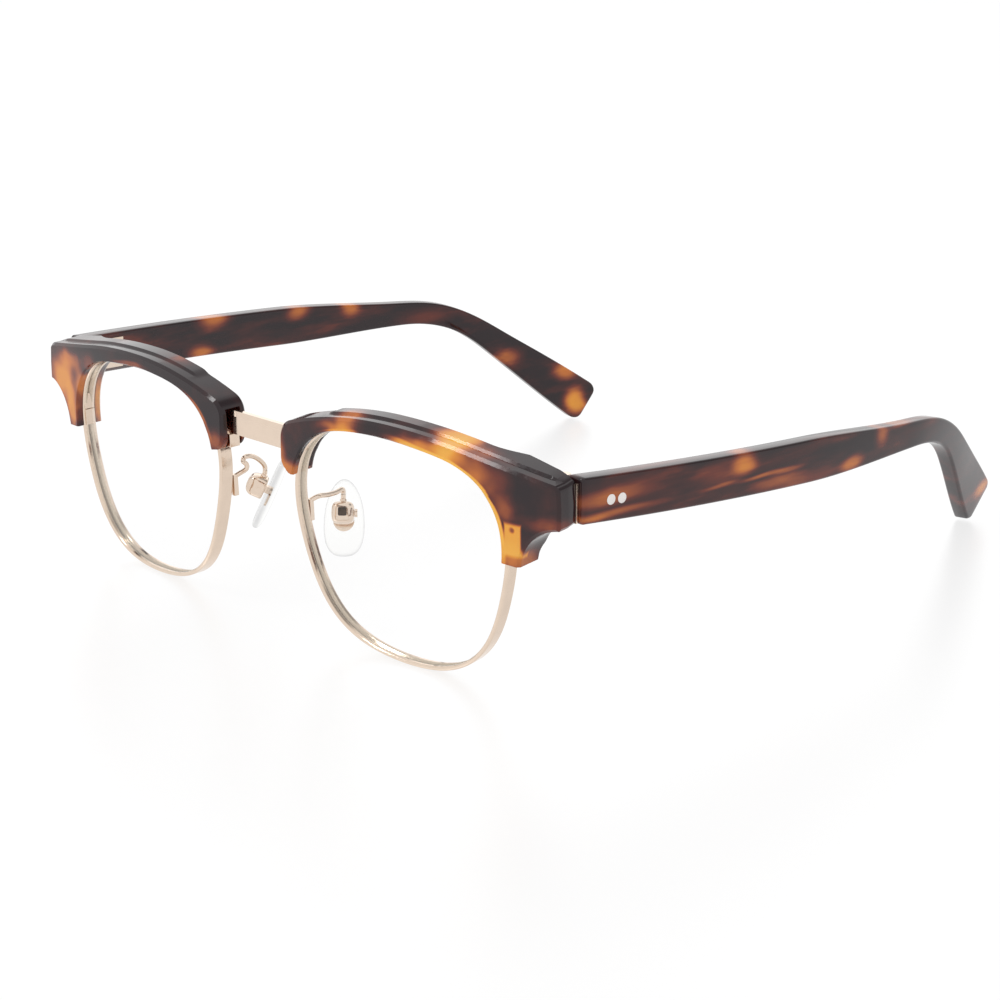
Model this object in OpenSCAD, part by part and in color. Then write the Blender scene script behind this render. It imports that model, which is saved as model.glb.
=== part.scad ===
// Browline glasses: two metal rims with clear lenses, carved acetate browlines that clip over
// their upper halves, a straight metal bridge, nose pads on wire arms, and acetate temples on
// five-barrel hinges. Millimetres. X runs to the wearer's left, Y runs to the back, Z is up,
// and the glasses stand open on their rims and temple tips with the floor at Z = 0.

/* [Lenses] */
// Width of a lens at the tip of its bevel
lens_w = 48; // [44:0.5:52]
// Height of a lens at the tip of its bevel
lens_h = 41; // [37:0.5:44]
// Distance between the two lenses at the nose
lens_gap = 21; // [19:0.5:24]
// Radius of the front curve that lenses, rims and browlines share
front_r = 270; // [180:10:600]
// Thickness of a lens
lens_t = 1.9; // [1.5:0.1:2.2]
// How far the bevel stands out of the lens's edge
bevel = 0.5; // [0.45:0.01:0.6]
// Sideways wrap of each lens about the vertical, in degrees
wrap = 5.2; // [0:0.2:8]
// Forward tilt of each lens, in degrees
tilt = 2.9; // [0:0.1:8]

/* [Lens outline] */
// How much wider than a circle the outline starts, as a share of its radius
oval = 0.112; // [0.05:0.002:0.16]
// How far the four sides are flattened, as a share of the radius
square = 0.028; // [0:0.002:0.05]
// How far the upper temple corner is drawn out, as a share of the radius
lean = 0.016; // [0:0.002:0.04]
// How far the outline narrows toward its foot, as a share of the radius
drop = 0.046; // [0:0.002:0.07]
// How flat the brow side is, as a share of the radius
flat = 0.016; // [0:0.002:0.03]
// How tight the corners are, as a share of the radius
tight = 0.009; // [0:0.001:0.015]

/* [Rims] */
// How far the rim wire reaches outside the bevel line
rim_out = 0.35; // [0.3:0.01:0.6]
// Depth of the rim wire, front to back
rim_d = 2.77; // [2.4:0.05:3.2]
// Height of the closing block that clamps the rim round its lens
block_h = 6.4; // [5:0.1:8]
// Height of the closing block's middle above the lens centre
block_v = 6.6; // [5.5:0.1:7.5]
// How far the closing block stands out of the rim
block_out = 2.6; // [2.2:0.1:2.9]
// Thickness of the closing block, front to back
block_d = 2.1; // [1.8:0.05:2.3]
// Radius of the rim screw
rim_screw_r = 0.5; // [0.4:0.05:0.6]
// Radius of the rim screw's head
rim_head_r = 0.8; // [0.7:0.05:0.9]
// Width of the cut between the closing block's halves
block_cut = 0.12; // [0.05:0.01:0.3]

/* [Browlines] */
// Thickness of the lip in front of the rim
front_lip = 1.35; // [1:0.05:1.8]
// Thickness of the lip behind the rim
rear_lip = 1.3; // [0.9:0.05:1.8]
// How far the lips cover the rim, inside the bevel line
lip_cover = 0.31; // [0.2:0.01:0.42]
// Height of the browline's crest above the lens
crest_h = 2.15; // [1.6:0.05:5]
// How far the browline's nose end stands out beside the lens
nose_w = 2.7; // [2.2:0.1:4.5]
// How far the lug stands out beside the lens
lug_w = 11.1; // [9.5:0.1:13]
// Height of the lug's underside above the lens centre
lug_v = 10.6; // [10:0.1:13]
// Radius of the scooped cut under the lug
scoop_r = 8; // [6:0.1:9]
// Width of the browline's leg down the temple side of the rim
leg_w = 3.4; // [3.1:0.05:3.8]
// Width of the bevel round the browline's front
brow_bevel = 0.6; // [0.2:0.05:0.9]
// Height of the step up to the shelf along the top's rear half
shelf = 0.4; // [0.1:0.05:0.8]
// How much thicker than the rest the lug is at its back
lug_extra = 2.6; // [1.5:0.1:4]
// Clearance between a browline and the rim parts that it clips over
clip_gap = 0.05; // [0.03:0.01:0.1]

/* [Bridge] */
// Half the length of the bridge bar between the browlines
bridge_half = 8.3; // [7.9:0.1:9]
// Height of the bridge bar's front face
bridge_h = 3.3; // [2.6:0.1:3.6]
// Height of the chamfered ridge on top of the bar
ridge_h = 0.8; // [0.3:0.1:1]
// Depth of the bridge bar, front to back
bridge_d = 2.2; // [1.6:0.1:2.2]
// Height of the bar's underside above the lens centre
bridge_v = 12.75; // [12.4:0.05:13]
// How far the bar's front lies in front of the lens centres
bridge_front = 0.8; // [0.6:0.05:1]

/* [Nose pads] */
// Height of a pad
pad_h = 14; // [12:0.1:16]
// Width of a pad
pad_w = 7.4; // [6:0.1:9]
// Thickness of a pad
pad_t = 1.9; // [1.6:0.05:2.4]
// Turn of a pad's face about the vertical, in degrees
pad_turn = 44.6; // [35:0.2:55]
// Lean of a pad's face down toward the nose, in degrees
pad_lean = 24.6; // [15:0.2:30]
// Distance of a pad's rocking axis from the middle of the nose
pad_x = 11.6; // [11:0.05:12.2]
// Distance of a pad's rocking axis behind the lens centres
pad_y = 8.75; // [8.2:0.05:9.4]
// Height of a pad's rocking axis above the lens centre
pad_v = -0.1; // [-1:0.05:1.5]
// Radius of the wire of a pad arm
arm_r = 0.45; // [0.35:0.05:0.55]
// Outer size of the cup that holds a pad, across and up
box_w = 4.2; // [3.6:0.1:4.4]
// Depth of the cup that holds a pad
box_d = 2.4; // [2.2:0.1:2.6]
// Thickness of a pad insert's tab
tab_t = 1.1; // [0.8:0.05:1.3]
// Radius of a pad screw
pad_screw_r = 0.4; // [0.3:0.05:0.45]

/* [Hinges] */
// Radius of the hinge barrels
barrel_r = 1.15; // [1:0.05:1.3]
// Height of the hinge leaves
leaf_h = 6.8; // [5.5:0.1:7.4]
// Thickness of the front leaf
leaf_t = 0.5; // [0.4:0.05:0.7]
// Height of the temple leaf's plate
plate_h = 6; // [4.5:0.1:6.2]
// How far the temple leaf's plate reaches past the middle of its second rivet
leaf_end = 1.8; // [1.3:0.1:5]
// Radius of the hinge screw
hinge_screw_r = 0.6; // [0.5:0.05:0.7]
// Radius of a rivet
rivet_r = 0.9; // [0.6:0.05:1]
// Distance between the two rivets
rivet_gap = 2.35; // [2.1:0.05:3]
// Distance from the temple's front end to its first rivet
rivet_at = 6.7; // [6:0.1:8]

/* [Temples] */
// Length of a temple along its curve
temple_l = 144; // [135:1:150]
// Height of a temple at the hinge
temple_h = 7.9; // [7:0.1:9]
// Thickness of a temple
temple_t = 3.8; // [3.4:0.1:4.4]
// Thickness of a temple's tip
tip_t = 3.2; // [2.6:0.1:3.6]
// Height of a temple where it bends over the ear
neck_h = 4.9; // [4.2:0.1:6]
// Height of a temple's tip
tip_h = 9.9; // [8:0.1:11]
// Distance along a temple at which it starts to bend down
bend_at = 88; // [82:1:96]
// Length of the bend
bend_l = 28; // [22:1:34]
// Angle of the bend, in degrees
bend = 34.6; // [28:0.2:40]
// How far a temple bows outward between hinge and ear
bow_out = 3.9; // [1:0.1:5]
// How far the tip is drawn in behind the ear
tip_in = 5; // [2:0.1:6]
// How far a temple's inner face lies from the middle of the nose at the hinge
temple_x = 65.8; // [65.6:0.05:66]
// Play between the pieces of a hinge
play = 0.03; // [0.02:0.01:0.05]

/* [Hidden] */
$fn = 32;

// Colours
acetate = [0.17, 0.07, 0.06];
gold = [0.86, 0.76, 0.60];
clear = [0.90, 0.93, 0.95, 0.4];
silicone = [0.88, 0.88, 0.86, 0.7];
steel = [0.72, 0.72, 0.72];

// General helpers: a smooth step, a shell of rings with two ends, and a shell closed on itself
function ease(t) = let(c = max(0, min(1, t))) c * c * (3 - 2 * c);
function joined(lists) = [for (l = lists) for (p = l) p];
function strip(n, m, wraps) = [for (i = [0:n - (wraps ? 1 : 2)]) for (j = [0:m - 1])
  let(a = i * m + j, b = i * m + (j + 1) % m, c = (i + 1) % n * m + (j + 1) % m, d = (i + 1) % n * m + j)
  each [[a, b, c], [a, c, d]]];

module ring_loop(rings) {
  polyhedron(points = joined(rings), faces = strip(len(rings), len(rings[0]), true), convexity = 8);
}

// cap lists the faces that close the last ring; with none given, the ring itself is one face
module ring_body(rings, cap = undef) {
  m = len(rings[0]);
  last = (len(rings) - 1) * m;
  closing = is_undef(cap) ? [[for (j = [0:m - 1]) j]] : cap;
  near_end = [for (f = closing) [for (j = [len(f) - 1:-1:0]) f[j]]];
  far_end = [for (f = closing) [for (j = f) last + j]];
  polyhedron(points = joined(rings), faces = concat(strip(len(rings), m, false), near_end, far_end),
    convexity = 8);
}

// The lens outline: a rounded form around the lens centre, u toward the temple and v up
function raw(a) = (1 + oval * cos(2 * a) - square * cos(4 * a) - tight * cos(6 * a) - lean * sin(2 * a)
  + drop * sin(3 * a) + flat * sin(5 * a)) * [cos(a), sin(a)];
around = [for (a = [0:2:358]) raw(a)];
low = [min([for (p = around) p.x]), min([for (p = around) p.y])];
high = [max([for (p = around) p.x]), max([for (p = around) p.y])];
function base(a) = let(p = raw(a) - (low + high) / 2, s = high - low)
  [p.x * lens_w / s.x, p.y * lens_h / s.y];
function outward(a) = let(d = base(a + 1) - base(a - 1)) [d.y, -d.x] / norm(d);
function edge(a, off) = base(a) + off * outward(a);
function sag(p) = (p.x * p.x + p.y * p.y) / (2 * front_r);
function on_front(p, n) = [p.x, n + sag(p), p.y];

// Places that several pieces share
lens_x = (lens_w + lens_gap) / 2;
groove_gap = 0.05;
rim_in = bevel - groove_gap;
rim_round = 0.25;
crest_v = lens_h / 2 + crest_h;
nose_u = lens_w / 2 + nose_w;
lug_u = lens_w / 2 + lug_w;
function tilted_z(p) = p.y * sin(tilt) + p.z * cos(tilt);
lens_z = -min([for (a = [240:2:300]) tilted_z(on_front(edge(a, rim_out), rim_round))]);
mid_n = rim_d / 2;
stations = 60;

// The hinge's seat on the lug, the temple's front end and the hinge's axis
seat_x = 52;
seat_y = 8.35;
leaf_y = seat_y + leaf_t;
barrel_gap = 0.05;
temple_gap = 0.15;
temple_y = leaf_y + temple_gap;
barrel_side = 0.1;
hinge_x = temple_x - barrel_r - barrel_side;
hinge_y = leaf_y + barrel_r + barrel_gap;
hinge_drop = 2.2;
hinge_z = lens_z + (lug_v + crest_v) / 2 - hinge_drop;
temple_rise = 0.3;

// How far tools reach past what they cut, in front and behind
cut_front = 4;
cut_back = 10;

// The temple's path: bow, slope and bend, from the front end to the tip
bow_at = 52;
thin_at = 55;
thin_l = 40;
widen_at = 102;
widen_l = 44;
draw_at = 88;
draw_l = 60;
path_steps = 36;
path_n = 144;
step = temple_l / path_n;
tip_round = 1.3;
tip_s = temple_l - tip_round;
tip_shrink = 0.3;
function sum_of(list) = list * [for (x = list) 1];
function half_h(s) = (temple_h - (temple_h - neck_h) * ease((s - thin_at) / thin_l)
  + (tip_h - neck_h) * ease((s - widen_at) / widen_l)) / 2;
// Height of the tip's lowest edge for a slope k, and the slope that puts that edge on the floor
function sweep(s, k) = k + bend * ease((s - bend_at) / bend_l);
function tip_z(k) = hinge_z + temple_rise
  - sum_of([for (i = [0:path_n - 1]) step * sin(sweep(i * step, k))])
  + (temple_l - tip_s) * sin(k + bend) - (half_h(tip_s) - tip_shrink) * cos(k + bend);
function solved(k, n) = n == 0 ? k : solved(k + 10 * tip_z(k) / (tip_z(k) - tip_z(k + 10)), n - 1);
slope = solved(3, 4);
function dip(s) = sweep(s, slope);
function bow(s) = bow_out * (1 - pow((s - bow_at) / bow_at, 2)) - tip_in * ease((s - draw_at) / draw_l);
path_y = [for (i = 0, y = temple_y; i <= path_n; y = y + step * cos(dip(i * step)), i = i + 1) y];
path_z = [for (i = 0, z = hinge_z + temple_rise; i <= path_n; z = z - step * sin(dip(i * step)), i = i + 1)
  z];
function path(s) = let(i = min(path_n, round(s / step)))
  [temple_x + temple_t / 2 + bow(s), path_y[i], path_z[i]];
function thick(s) = temple_t - (temple_t - tip_t) * s / temple_l;
splay = atan((bow(rivet_at + 1) - bow(rivet_at - 1)) / 2);

module centred() {
  translate([0, -mid_y, 0]) children();
}

module on_lens() {
  centred() translate([lens_x, 0, lens_z]) rotate([tilt, 0, wrap]) children();
}

module pad_frame() {
  centred() translate([pad_x, pad_y, lens_z + pad_v]) rotate([-pad_lean, 0, pad_turn]) children();
}

module hinge_frame() {
  centred() translate([hinge_x, hinge_y, hinge_z]) children();
}

module outline_prism(off) {
  translate([0, cut_back, 0]) rotate([90, 0, 0]) linear_extrude(cut_back + cut_front)
    polygon([for (i = [0:stations - 1]) edge(i * 360 / stations, off)]);
}

// Rim
groove_half = bevel + groove_gap / 2;
function rim_section(a) = [for (q = [
  [rim_out - rim_round, 0], [rim_round - rim_in, 0], [-rim_in, rim_round], [-rim_in, mid_n - groove_half],
  [groove_gap, mid_n], [-rim_in, mid_n + groove_half], [-rim_in, rim_d - rim_round],
  [rim_round - rim_in, rim_d], [rim_out - rim_round, rim_d], [rim_out, rim_d - rim_round],
  [rim_out, rim_round]]) on_front(edge(a, q[0]), q[1])];

// Two parts stand on the rim: the closing block on the temple side and the shoe on the nose side.
// Each starts a little way into the wire, past its groove.
root = 0.1;
block_u = edge(15, rim_out).x;
block_n = mid_n + sag([block_u, block_v]);
block_in = 2;
screw_off = 0.15;
screw_u = block_u + block_out / 2 + screw_off;

module block(grow) {
  difference() {
    translate([block_u - block_in, block_n - block_d / 2 - grow, block_v - block_h / 2 - grow])
      cube([block_out + block_in + grow, block_d + 2 * grow, block_h + 2 * grow]);
    if (grow == 0) outline_prism(root);
  }
}

module rim_hole(r, low_v, high_v) {
  translate([screw_u, block_n, low_v]) cylinder(h = high_v - low_v, r = r);
}

shoe_v = 11.2;
shoe_h = 2.5;
shoe_d = 2.1;
shoe_l = 5;
shoe_out = 0.2;
module shoe() {
  difference() {
    translate([-nose_u - shoe_out, mid_n + sag([nose_u, shoe_v]) - shoe_d / 2, shoe_v - shoe_h / 2])
      cube([shoe_l, shoe_d, shoe_h]);
    outline_prism(root);
  }
}

head_t = 0.8;
head_v = block_v - block_h / 2 + head_t + 0.1;
thread_v = block_v + block_h / 2 - 0.7;

module rim() {
  color(gold) on_lens() difference() {
    union() {
      ring_loop([for (i = [0:stations - 1]) rim_section(i * 360 / stations)]);
      block(0);
      shoe();
    }
    translate([block_u - cut_front, block_n - cut_front, block_v - block_cut / 2])
      cube([2 * cut_front, 2 * cut_front, block_cut]);
    rim_hole(rim_screw_r + play, block_v - block_h, thread_v + 0.1);
    rim_hole(rim_head_r + play, block_v - block_h, head_v);
  }
}

module rim_screw() {
  color(gold) on_lens() {
    rim_hole(rim_screw_r, head_v - 0.1, thread_v);
    rim_hole(rim_head_r, head_v - head_t, head_v - play);
  }
}

// Lens
module lens() {
  shares = [0.03, 0.5];
  half = lens_t / 2;
  function ring(share, off, n) = [for (i = [0:stations - 1])
    on_front(share * edge(i * 360 / stations, off), n)];
  color(clear) on_lens() ring_body(concat(
    [for (s = shares) ring(s, -bevel, mid_n - half)],
    [ring(1, -bevel, mid_n - half), ring(1, -bevel, mid_n - bevel), ring(1, 0, mid_n)],
    [ring(1, -bevel, mid_n + bevel), ring(1, -bevel, mid_n + half)],
    [for (i = [1:-1:0]) ring(shares[i], -bevel, mid_n + half)]));
}

// Browline: rings of a channel section run from the nose tip over the top to the leg's foot
function arc(c, r, a0, a1, n) = [for (i = [0:n]) let(a = a0 + (a1 - a0) * i / n) c + r * [cos(a), sin(a)]];
function line(p, q, n) = [for (i = [1:n]) p + (q - p) * i / n];
function paired(points, a0, a1) = [for (i = [0:len(points) - 1])
  [points[i], a0 + (a1 - a0) * i / max(1, len(points) - 1)]];

// The outline: a nose tip, a shoulder, two long arcs that meet at the crest, a straight run to the
// lug, the lug's corner and straight side, the scoop, and the foot of the leg
crest_u = -1.5;
nose_arc_r = 72;
side_arc_r = 110;
side_turn = 9.8;
tip_r = 2.8;
tip_v = 9.3;
tip_out = 0.85;
shoulder_r = 3.5;
lug_corner_r = 1;
lug_lean = 0.2;
lug_edge = 0.6;
scoop_out = 0.3;
nose_c = [crest_u, crest_v - nose_arc_r];
side_c = [crest_u, crest_v - side_arc_r];
shoulder_u = shoulder_r - nose_u;
shoulder_c = [shoulder_u, nose_c.y + sqrt(pow(nose_arc_r - shoulder_r, 2) - pow(shoulder_u - crest_u, 2))];
shoulder_a = 90 + atan((crest_u - shoulder_u) / (shoulder_c.y - nose_c.y));
side_end = side_c + side_arc_r * [sin(side_turn), cos(side_turn)];
lug_top = [lug_u - lug_lean, side_end.y - (lug_u - lug_lean - side_end.x) * tan(side_turn)];
scoop_c = [lug_u + scoop_out, lug_v - scoop_r];
leg_a = 6;
nose_a = 161.3;
brow_rings = joined([
  [[edge(nose_a, tip_out), nose_a]],
  paired(arc([tip_r - nose_u, tip_v + tip_r], tip_r, 246, 180, 4), 160, 154.5),
  paired(arc(shoulder_c, shoulder_r, 180, shoulder_a, 5), 149.5, 141),
  paired(arc(nose_c, nose_arc_r, shoulder_a - 1.2, 90, 12), 138.5, 93),
  paired(arc(side_c, side_arc_r, 89, 90 - side_turn, 9), 89.5, 54),
  paired(line(side_end, lug_top - lug_corner_r * [1, -tan(side_turn)], 5), 51, 38),
  paired(arc(lug_top - lug_corner_r * [1, 1], lug_corner_r, 70, 0, 2), 36.5, 34.5),
  paired([[lug_u, (lug_top.y + lug_v) / 2], [lug_u, lug_v + lug_edge]], 33, 31.5),
  paired(arc(scoop_c, scoop_r, 95, 172, 9), 30, 8),
  [[edge(leg_a, leg_w), leg_a]]]);

// The section: lip_round and back_round soften its edges, and narrow ends get them by their room.
// The shelf starts with a step at shelf_u, and the lug thickens over lug_run from lug_from.
lip_round = 0.35;
back_round = 0.4;
full_room = 1.6;
shelf_n = 0.5;
shelf_step = 0.4;
shelf_u = 17;
shelf_run = 2.2;
shelf_v = 15.5;
shelf_end = 1.1;
lug_from = 18;
lug_run = 11;
lug_low = 4;
lug_rise = 6;
brow_last = len(brow_rings) - 1;
function brow_section(k) = let(
    o = brow_rings[k][0],
    a = brow_rings[k][1],
    i = edge(a, -lip_cover),
    c = edge(a, rim_out + clip_gap),
    e = (o - c) / norm(o - c),
    d = brow_rings[min(k + 1, brow_last)][0] - brow_rings[max(k - 1, 0)][0],
    m = k == 0 || k == brow_last ? e : [-d.y, d.x] / norm(d),
    room = min(1, norm(o - c) / full_room),
    cut = brow_bevel * room,
    round_by = back_round * room,
    up = shelf * ease((o.x + shelf_u) / shelf_run) * ease((o.y - shelf_v) / shelf_run)
      * ease((lug_u - shelf_end - o.x) / shelf_run),
    near = rim_d + clip_gap,
    back = near + rear_lip,
    deep = back + lug_extra * ease((o.x - lug_from) / lug_run) * ease((o.y - lug_low) / lug_rise)
  ) [
    on_front(i, lip_round - front_lip),
    on_front(i + lip_round * e, -front_lip),
    on_front(o - cut * m, -front_lip),
    on_front(o, cut - front_lip),
    on_front(o, mid_n - shelf_n),
    on_front(o + up * m, mid_n - shelf_n + shelf_step),
    on_front(o + up * m, deep - round_by),
    on_front(o - round_by * m, deep),
    on_front(i + lip_round * e, back),
    on_front(i, back - lip_round),
    on_front(i, near),
    on_front(c, near),
    on_front(c, -clip_gap),
    on_front(i, -clip_gap)];

// The channel's end face as triangles: front lip, wall, rear lip
brow_cap = [[13, 0, 1], [13, 1, 2], [13, 2, 12], [12, 2, 3], [12, 3, 4], [12, 4, 11], [11, 4, 5],
  [11, 5, 6], [11, 6, 7], [11, 7, 8], [11, 8, 10], [10, 8, 9]];

// The nose end has a slot that slides over the shoe and the bridge: a short wide part takes the
// end of the bar, and a long low one the tenon and the shoe
slot_d = 3.15;
slot_front = 0.04;
slot_under = 0.12;
slot_over = 0.25;
bar_seat = 1.4;
slot_l = 7.2;
module brow() {
  slot_n = sag([nose_u, bridge_v]) - slot_front;
  slot_v = shoe_v - shoe_h / 2 - slot_under;
  bar_top = bridge_v + bridge_h + ridge_h + slot_over;
  tenon_top = bridge_v + bridge_h - tenon_in + slot_over;
  color(acetate) difference() {
    on_lens() difference() {
      ring_body([for (k = [0:brow_last]) brow_section(k)], brow_cap);
      block(2 * clip_gap);
      translate([-nose_u - cut_front, slot_n, slot_v])
        cube([cut_front + bar_seat, slot_d, bar_top - slot_v]);
      translate([-nose_u, slot_n, slot_v]) cube([slot_l, slot_d, tenon_top - slot_v]);
    }
    centred() translate([seat_x, seat_y, 0]) cube([lug_u, cut_back, 3 * lens_z]);
    anchor(play);
  }
}

// Bridge: a bar with a ridge on top, and two narrower tenons that reach the rims
tenon_in = 0.5;
tenon_front = 0.25;
tenon_l = 4;
bar_corner = 0.9;
ridge_front = 0.7;
ridge_back = 0.5;
module bridge() {
  z0 = lens_z + bridge_v;
  color(gold) centred() difference() {
    union() {
      translate([0, bridge_d - bridge_front, z0]) rotate([90, 0, 0]) linear_extrude(bridge_d) polygon([
        [bar_corner - bridge_half, 0], [bridge_half - bar_corner, 0], [bridge_half, bar_corner],
        [bridge_half, bridge_h], [-bridge_half, bridge_h], [-bridge_half, bar_corner]]);
      translate([-bridge_half, 0, z0 + bridge_h]) rotate([90, 0, 90]) linear_extrude(2 * bridge_half)
        polygon([[-bridge_front, 0], [bridge_d - bridge_front, 0],
          [bridge_d - bridge_front - ridge_back, ridge_h], [ridge_front - bridge_front, ridge_h]]);
      translate([-lens_gap / 2 - tenon_l, tenon_front - bridge_front, z0 + tenon_in])
        cube([lens_gap + 2 * tenon_l, bridge_d - 2 * tenon_front, bridge_h - 2 * tenon_in]);
    }
    for (side = [0, 1]) mirror([side, 0, 0]) translate([lens_x, 0, lens_z]) rotate([tilt, 0, wrap])
      outline_prism(rim_out + clip_gap);
  }
}

// Nose pad arm: a foot soldered behind the rim, and a wire that loops back to the pad box
function bezier(p, t) = pow(1 - t, 3) * p[0] + 3 * t * pow(1 - t, 2) * p[1] + 3 * t * t * (1 - t) * p[2]
  + t * t * t * p[3];
function tube_ring(p, d, r, n) = let(
    side = cross(d, [0, 0, 1]) + [0.001, 0, 0],
    x = side / norm(side),
    y = cross(x, d)
  ) [for (j = [0:n - 1]) p + r * (cos(j * 360 / n) * x + sin(j * 360 / n) * y)];

foot_u = edge(176, 0).x;
foot_h = 4;
foot_v = 1.6;
foot_w = 0.9;
foot_gap = 0.06;
foot_n = rim_d + sag([foot_u, foot_v]) + foot_gap;
neck = 0.4;
neck_r = 0.6;
// The arm's bends: three places behind the foot's top and one above the cup, across, back and up
arm_bends = [[-0.3, 1.6, 0.7], [0.5, 2.3, 1.8], [0.7, 4.3, 2.1]];
arm_fall = [0, 0.15, 2];
function pad_to_front(p) = let(
    a = [p.x, p.y * cos(pad_lean) + p.z * sin(pad_lean), p.z * cos(pad_lean) - p.y * sin(pad_lean)]
  ) [pad_x + a.x * cos(pad_turn) - a.y * sin(pad_turn), pad_y + a.x * sin(pad_turn) + a.y * cos(pad_turn),
    lens_z + pad_v + a.z];
function lens_to_front(p) = let(
    a = [p.x, p.y * cos(tilt) - p.z * sin(tilt), p.y * sin(tilt) + p.z * cos(tilt)]
  ) [lens_x + a.x * cos(wrap) - a.y * sin(wrap), a.x * sin(wrap) + a.y * cos(wrap), lens_z + a.z];

// A smooth curve through points, with n steps between each two
function curve(p, n) = concat([for (i = [0:len(p) - 2]) for (k = [0:n - 1])
  let(a = p[max(0, i - 1)], b = p[i], c = p[i + 1], d = p[min(len(p) - 1, i + 2)])
  bezier([b, b + (c - a) / 6, c - (d - b) / 6, c], k / n)], [p[len(p) - 1]]);

module pad_arm() {
  start = lens_to_front([foot_u, foot_n + arm_r, foot_v + foot_h / 2 - arm_r]);
  finish = pad_to_front([0, 0, box_w / 2 + neck + play]);
  above = pad_to_front([0, 0, box_w / 2 + neck + 1]);
  knots = curve(concat([start], [for (b = arm_bends) start + b], [finish + arm_fall, finish]), 4);
  last = len(knots) - 1;
  color(gold) centred() ring_body([for (i = [0:last])
    let(d = i == last ? finish - above : knots[i + 1] - knots[max(0, i - 1)])
    tube_ring(knots[i], d / norm(d), arm_r, 8)]);
  color(gold) on_lens() translate([foot_u - foot_w / 2, foot_n, foot_v - foot_h / 2])
    cube([foot_w, foot_w, foot_h]);
}

// Pad box: a rounded cup on a short neck. The pad's tab enters its window, and a screw pins it.
window_x = tab_t + 0.3;
window_z = 1.9;
box_back = box_d / 2 - 0.1;
box_round = 0.6;
module pad_box() {
  color(gold) pad_frame() difference() {
    union() {
      translate([0, box_back, 0]) rotate([90, 0, 0]) {
        cylinder(h = box_d - box_round, r = box_w / 2);
        translate([0, 0, box_d - box_round])
          cylinder(h = box_round, r1 = box_w / 2, r2 = box_w / 2 - box_round);
      }
      cylinder(h = box_w / 2 + neck, r = neck_r);
    }
    translate([-window_x / 2, -box_d, -window_z / 2]) cube([window_x, 2 * box_d, window_z]);
    rotate([0, 90, 0]) cylinder(h = 2 * box_w, r = pad_screw_r + play, center = true);
  }
}

screw_head_r = 0.75;
screw_head_t = 0.45;
module pad_screw() {
  color(gold) pad_frame() rotate([0, 90, 0]) {
    translate([0, 0, -box_w / 2]) cylinder(h = box_w + 0.1, r = pad_screw_r);
    translate([0, 0, box_w / 2 + play]) cylinder(h = screw_head_t, r = screw_head_r);
  }
}

// Pad insert: a tab with a round end for the screw, and a disc inside the pad
pad_gap = 0.35;
pad_back = box_d / 2 + pad_gap;
tab_r = 0.65;
plate_y = pad_back + 0.55;
plate_t = 0.4;
plate_r = 1.9;
plate_z = -1.15;
module insert_form(grow) {
  rotate([0, 90, 0]) cylinder(h = tab_t + 2 * grow, r = tab_r, center = true);
  translate([-tab_t / 2 - grow, 0, -tab_r - grow])
    cube([tab_t + 2 * grow, plate_y + plate_t / 2, 2 * (tab_r + grow)]);
  translate([0, plate_y + plate_t + grow, plate_z]) rotate([90, 0, 0])
    cylinder(h = plate_t + 2 * grow, r = plate_r + grow);
}

module pad_insert() {
  color(gold) pad_frame() difference() {
    insert_form(0);
    rotate([0, 90, 0]) cylinder(h = 2 * box_w, r = pad_screw_r + play, center = true);
  }
}

// Nose pad: narrow and round at the top, wide and squarer at the foot, with a rounded face
pad_drop = -0.6;
pad_taper = 0.1;
pad_square = 0.35;
pad_flat = 0.05;
module nose_pad() {
  shares = [[0.9, 0], [1, 0.25], [1, 0.55], [0.88, 0.82], [0.6, 0.95], [0.25, 1]];
  function full(c, s) = s < 0 ? 1 + pad_square * pow(c * s, 2) : 1;
  function pad_ring(share, y) = [for (i = [0:23])
    let(a = -i * 15, c = cos(a), s = sin(a), k = share * full(c, s))
    [k * pad_w / 2 * c * (1 - pad_taper * s) * (c > 0 ? 1 : 1 - pad_flat), y, pad_drop + k * pad_h / 2 * s]];
  color(silicone) pad_frame() difference() {
    ring_body([for (q = shares) pad_ring(q[0], pad_back + q[1] * pad_t)]);
    insert_form(0.02);
  }
}

// Hinge: barrels on one axis; even barrels belong to the front leaf, odd ones to the temple leaf
barrels = 5;
barrel_h = (leaf_h - (barrels - 1) * barrel_gap) / barrels;
module barrel(i) {
  translate([0, 0, -leaf_h / 2 + i * (barrel_h + barrel_gap)]) {
    cylinder(h = barrel_h, r = barrel_r);
    children();
  }
}

module screw_hole() {
  translate([0, 0, -leaf_h]) cylinder(h = 2 * leaf_h, r = hinge_screw_r + play);
}

// The block that holds the front leaf in the lug
anchor_side = 0.3;
anchor_w = 2.6;
anchor_d = 1.6;
anchor_h = 3.4;
module anchor(grow) {
  centred() translate([hinge_x + anchor_side - grow, seat_y - anchor_d - grow, hinge_z - anchor_h / 2 - grow])
    cube([anchor_w + 2 * grow, anchor_d + 0.1 + grow, anchor_h + 2 * grow]);
}

leaf_edge = 0.8;
leaf_seat = 0.02;
module front_leaf() {
  web = hinge_y - leaf_y;
  color(gold) {
    hinge_frame() difference() {
      union() {
        for (i = [0:2:barrels - 1]) barrel(i) translate([-barrel_r, -web - leaf_seat, 0])
          cube([2 * barrel_r, web + leaf_seat, barrel_h]);
        translate([-barrel_r, leaf_seat - web - leaf_t, -leaf_h / 2])
          cube([lens_x + lug_u - leaf_edge - hinge_x + barrel_r, leaf_t - leaf_seat, leaf_h]);
      }
      screw_hole();
    }
    anchor(0);
  }
}

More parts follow.
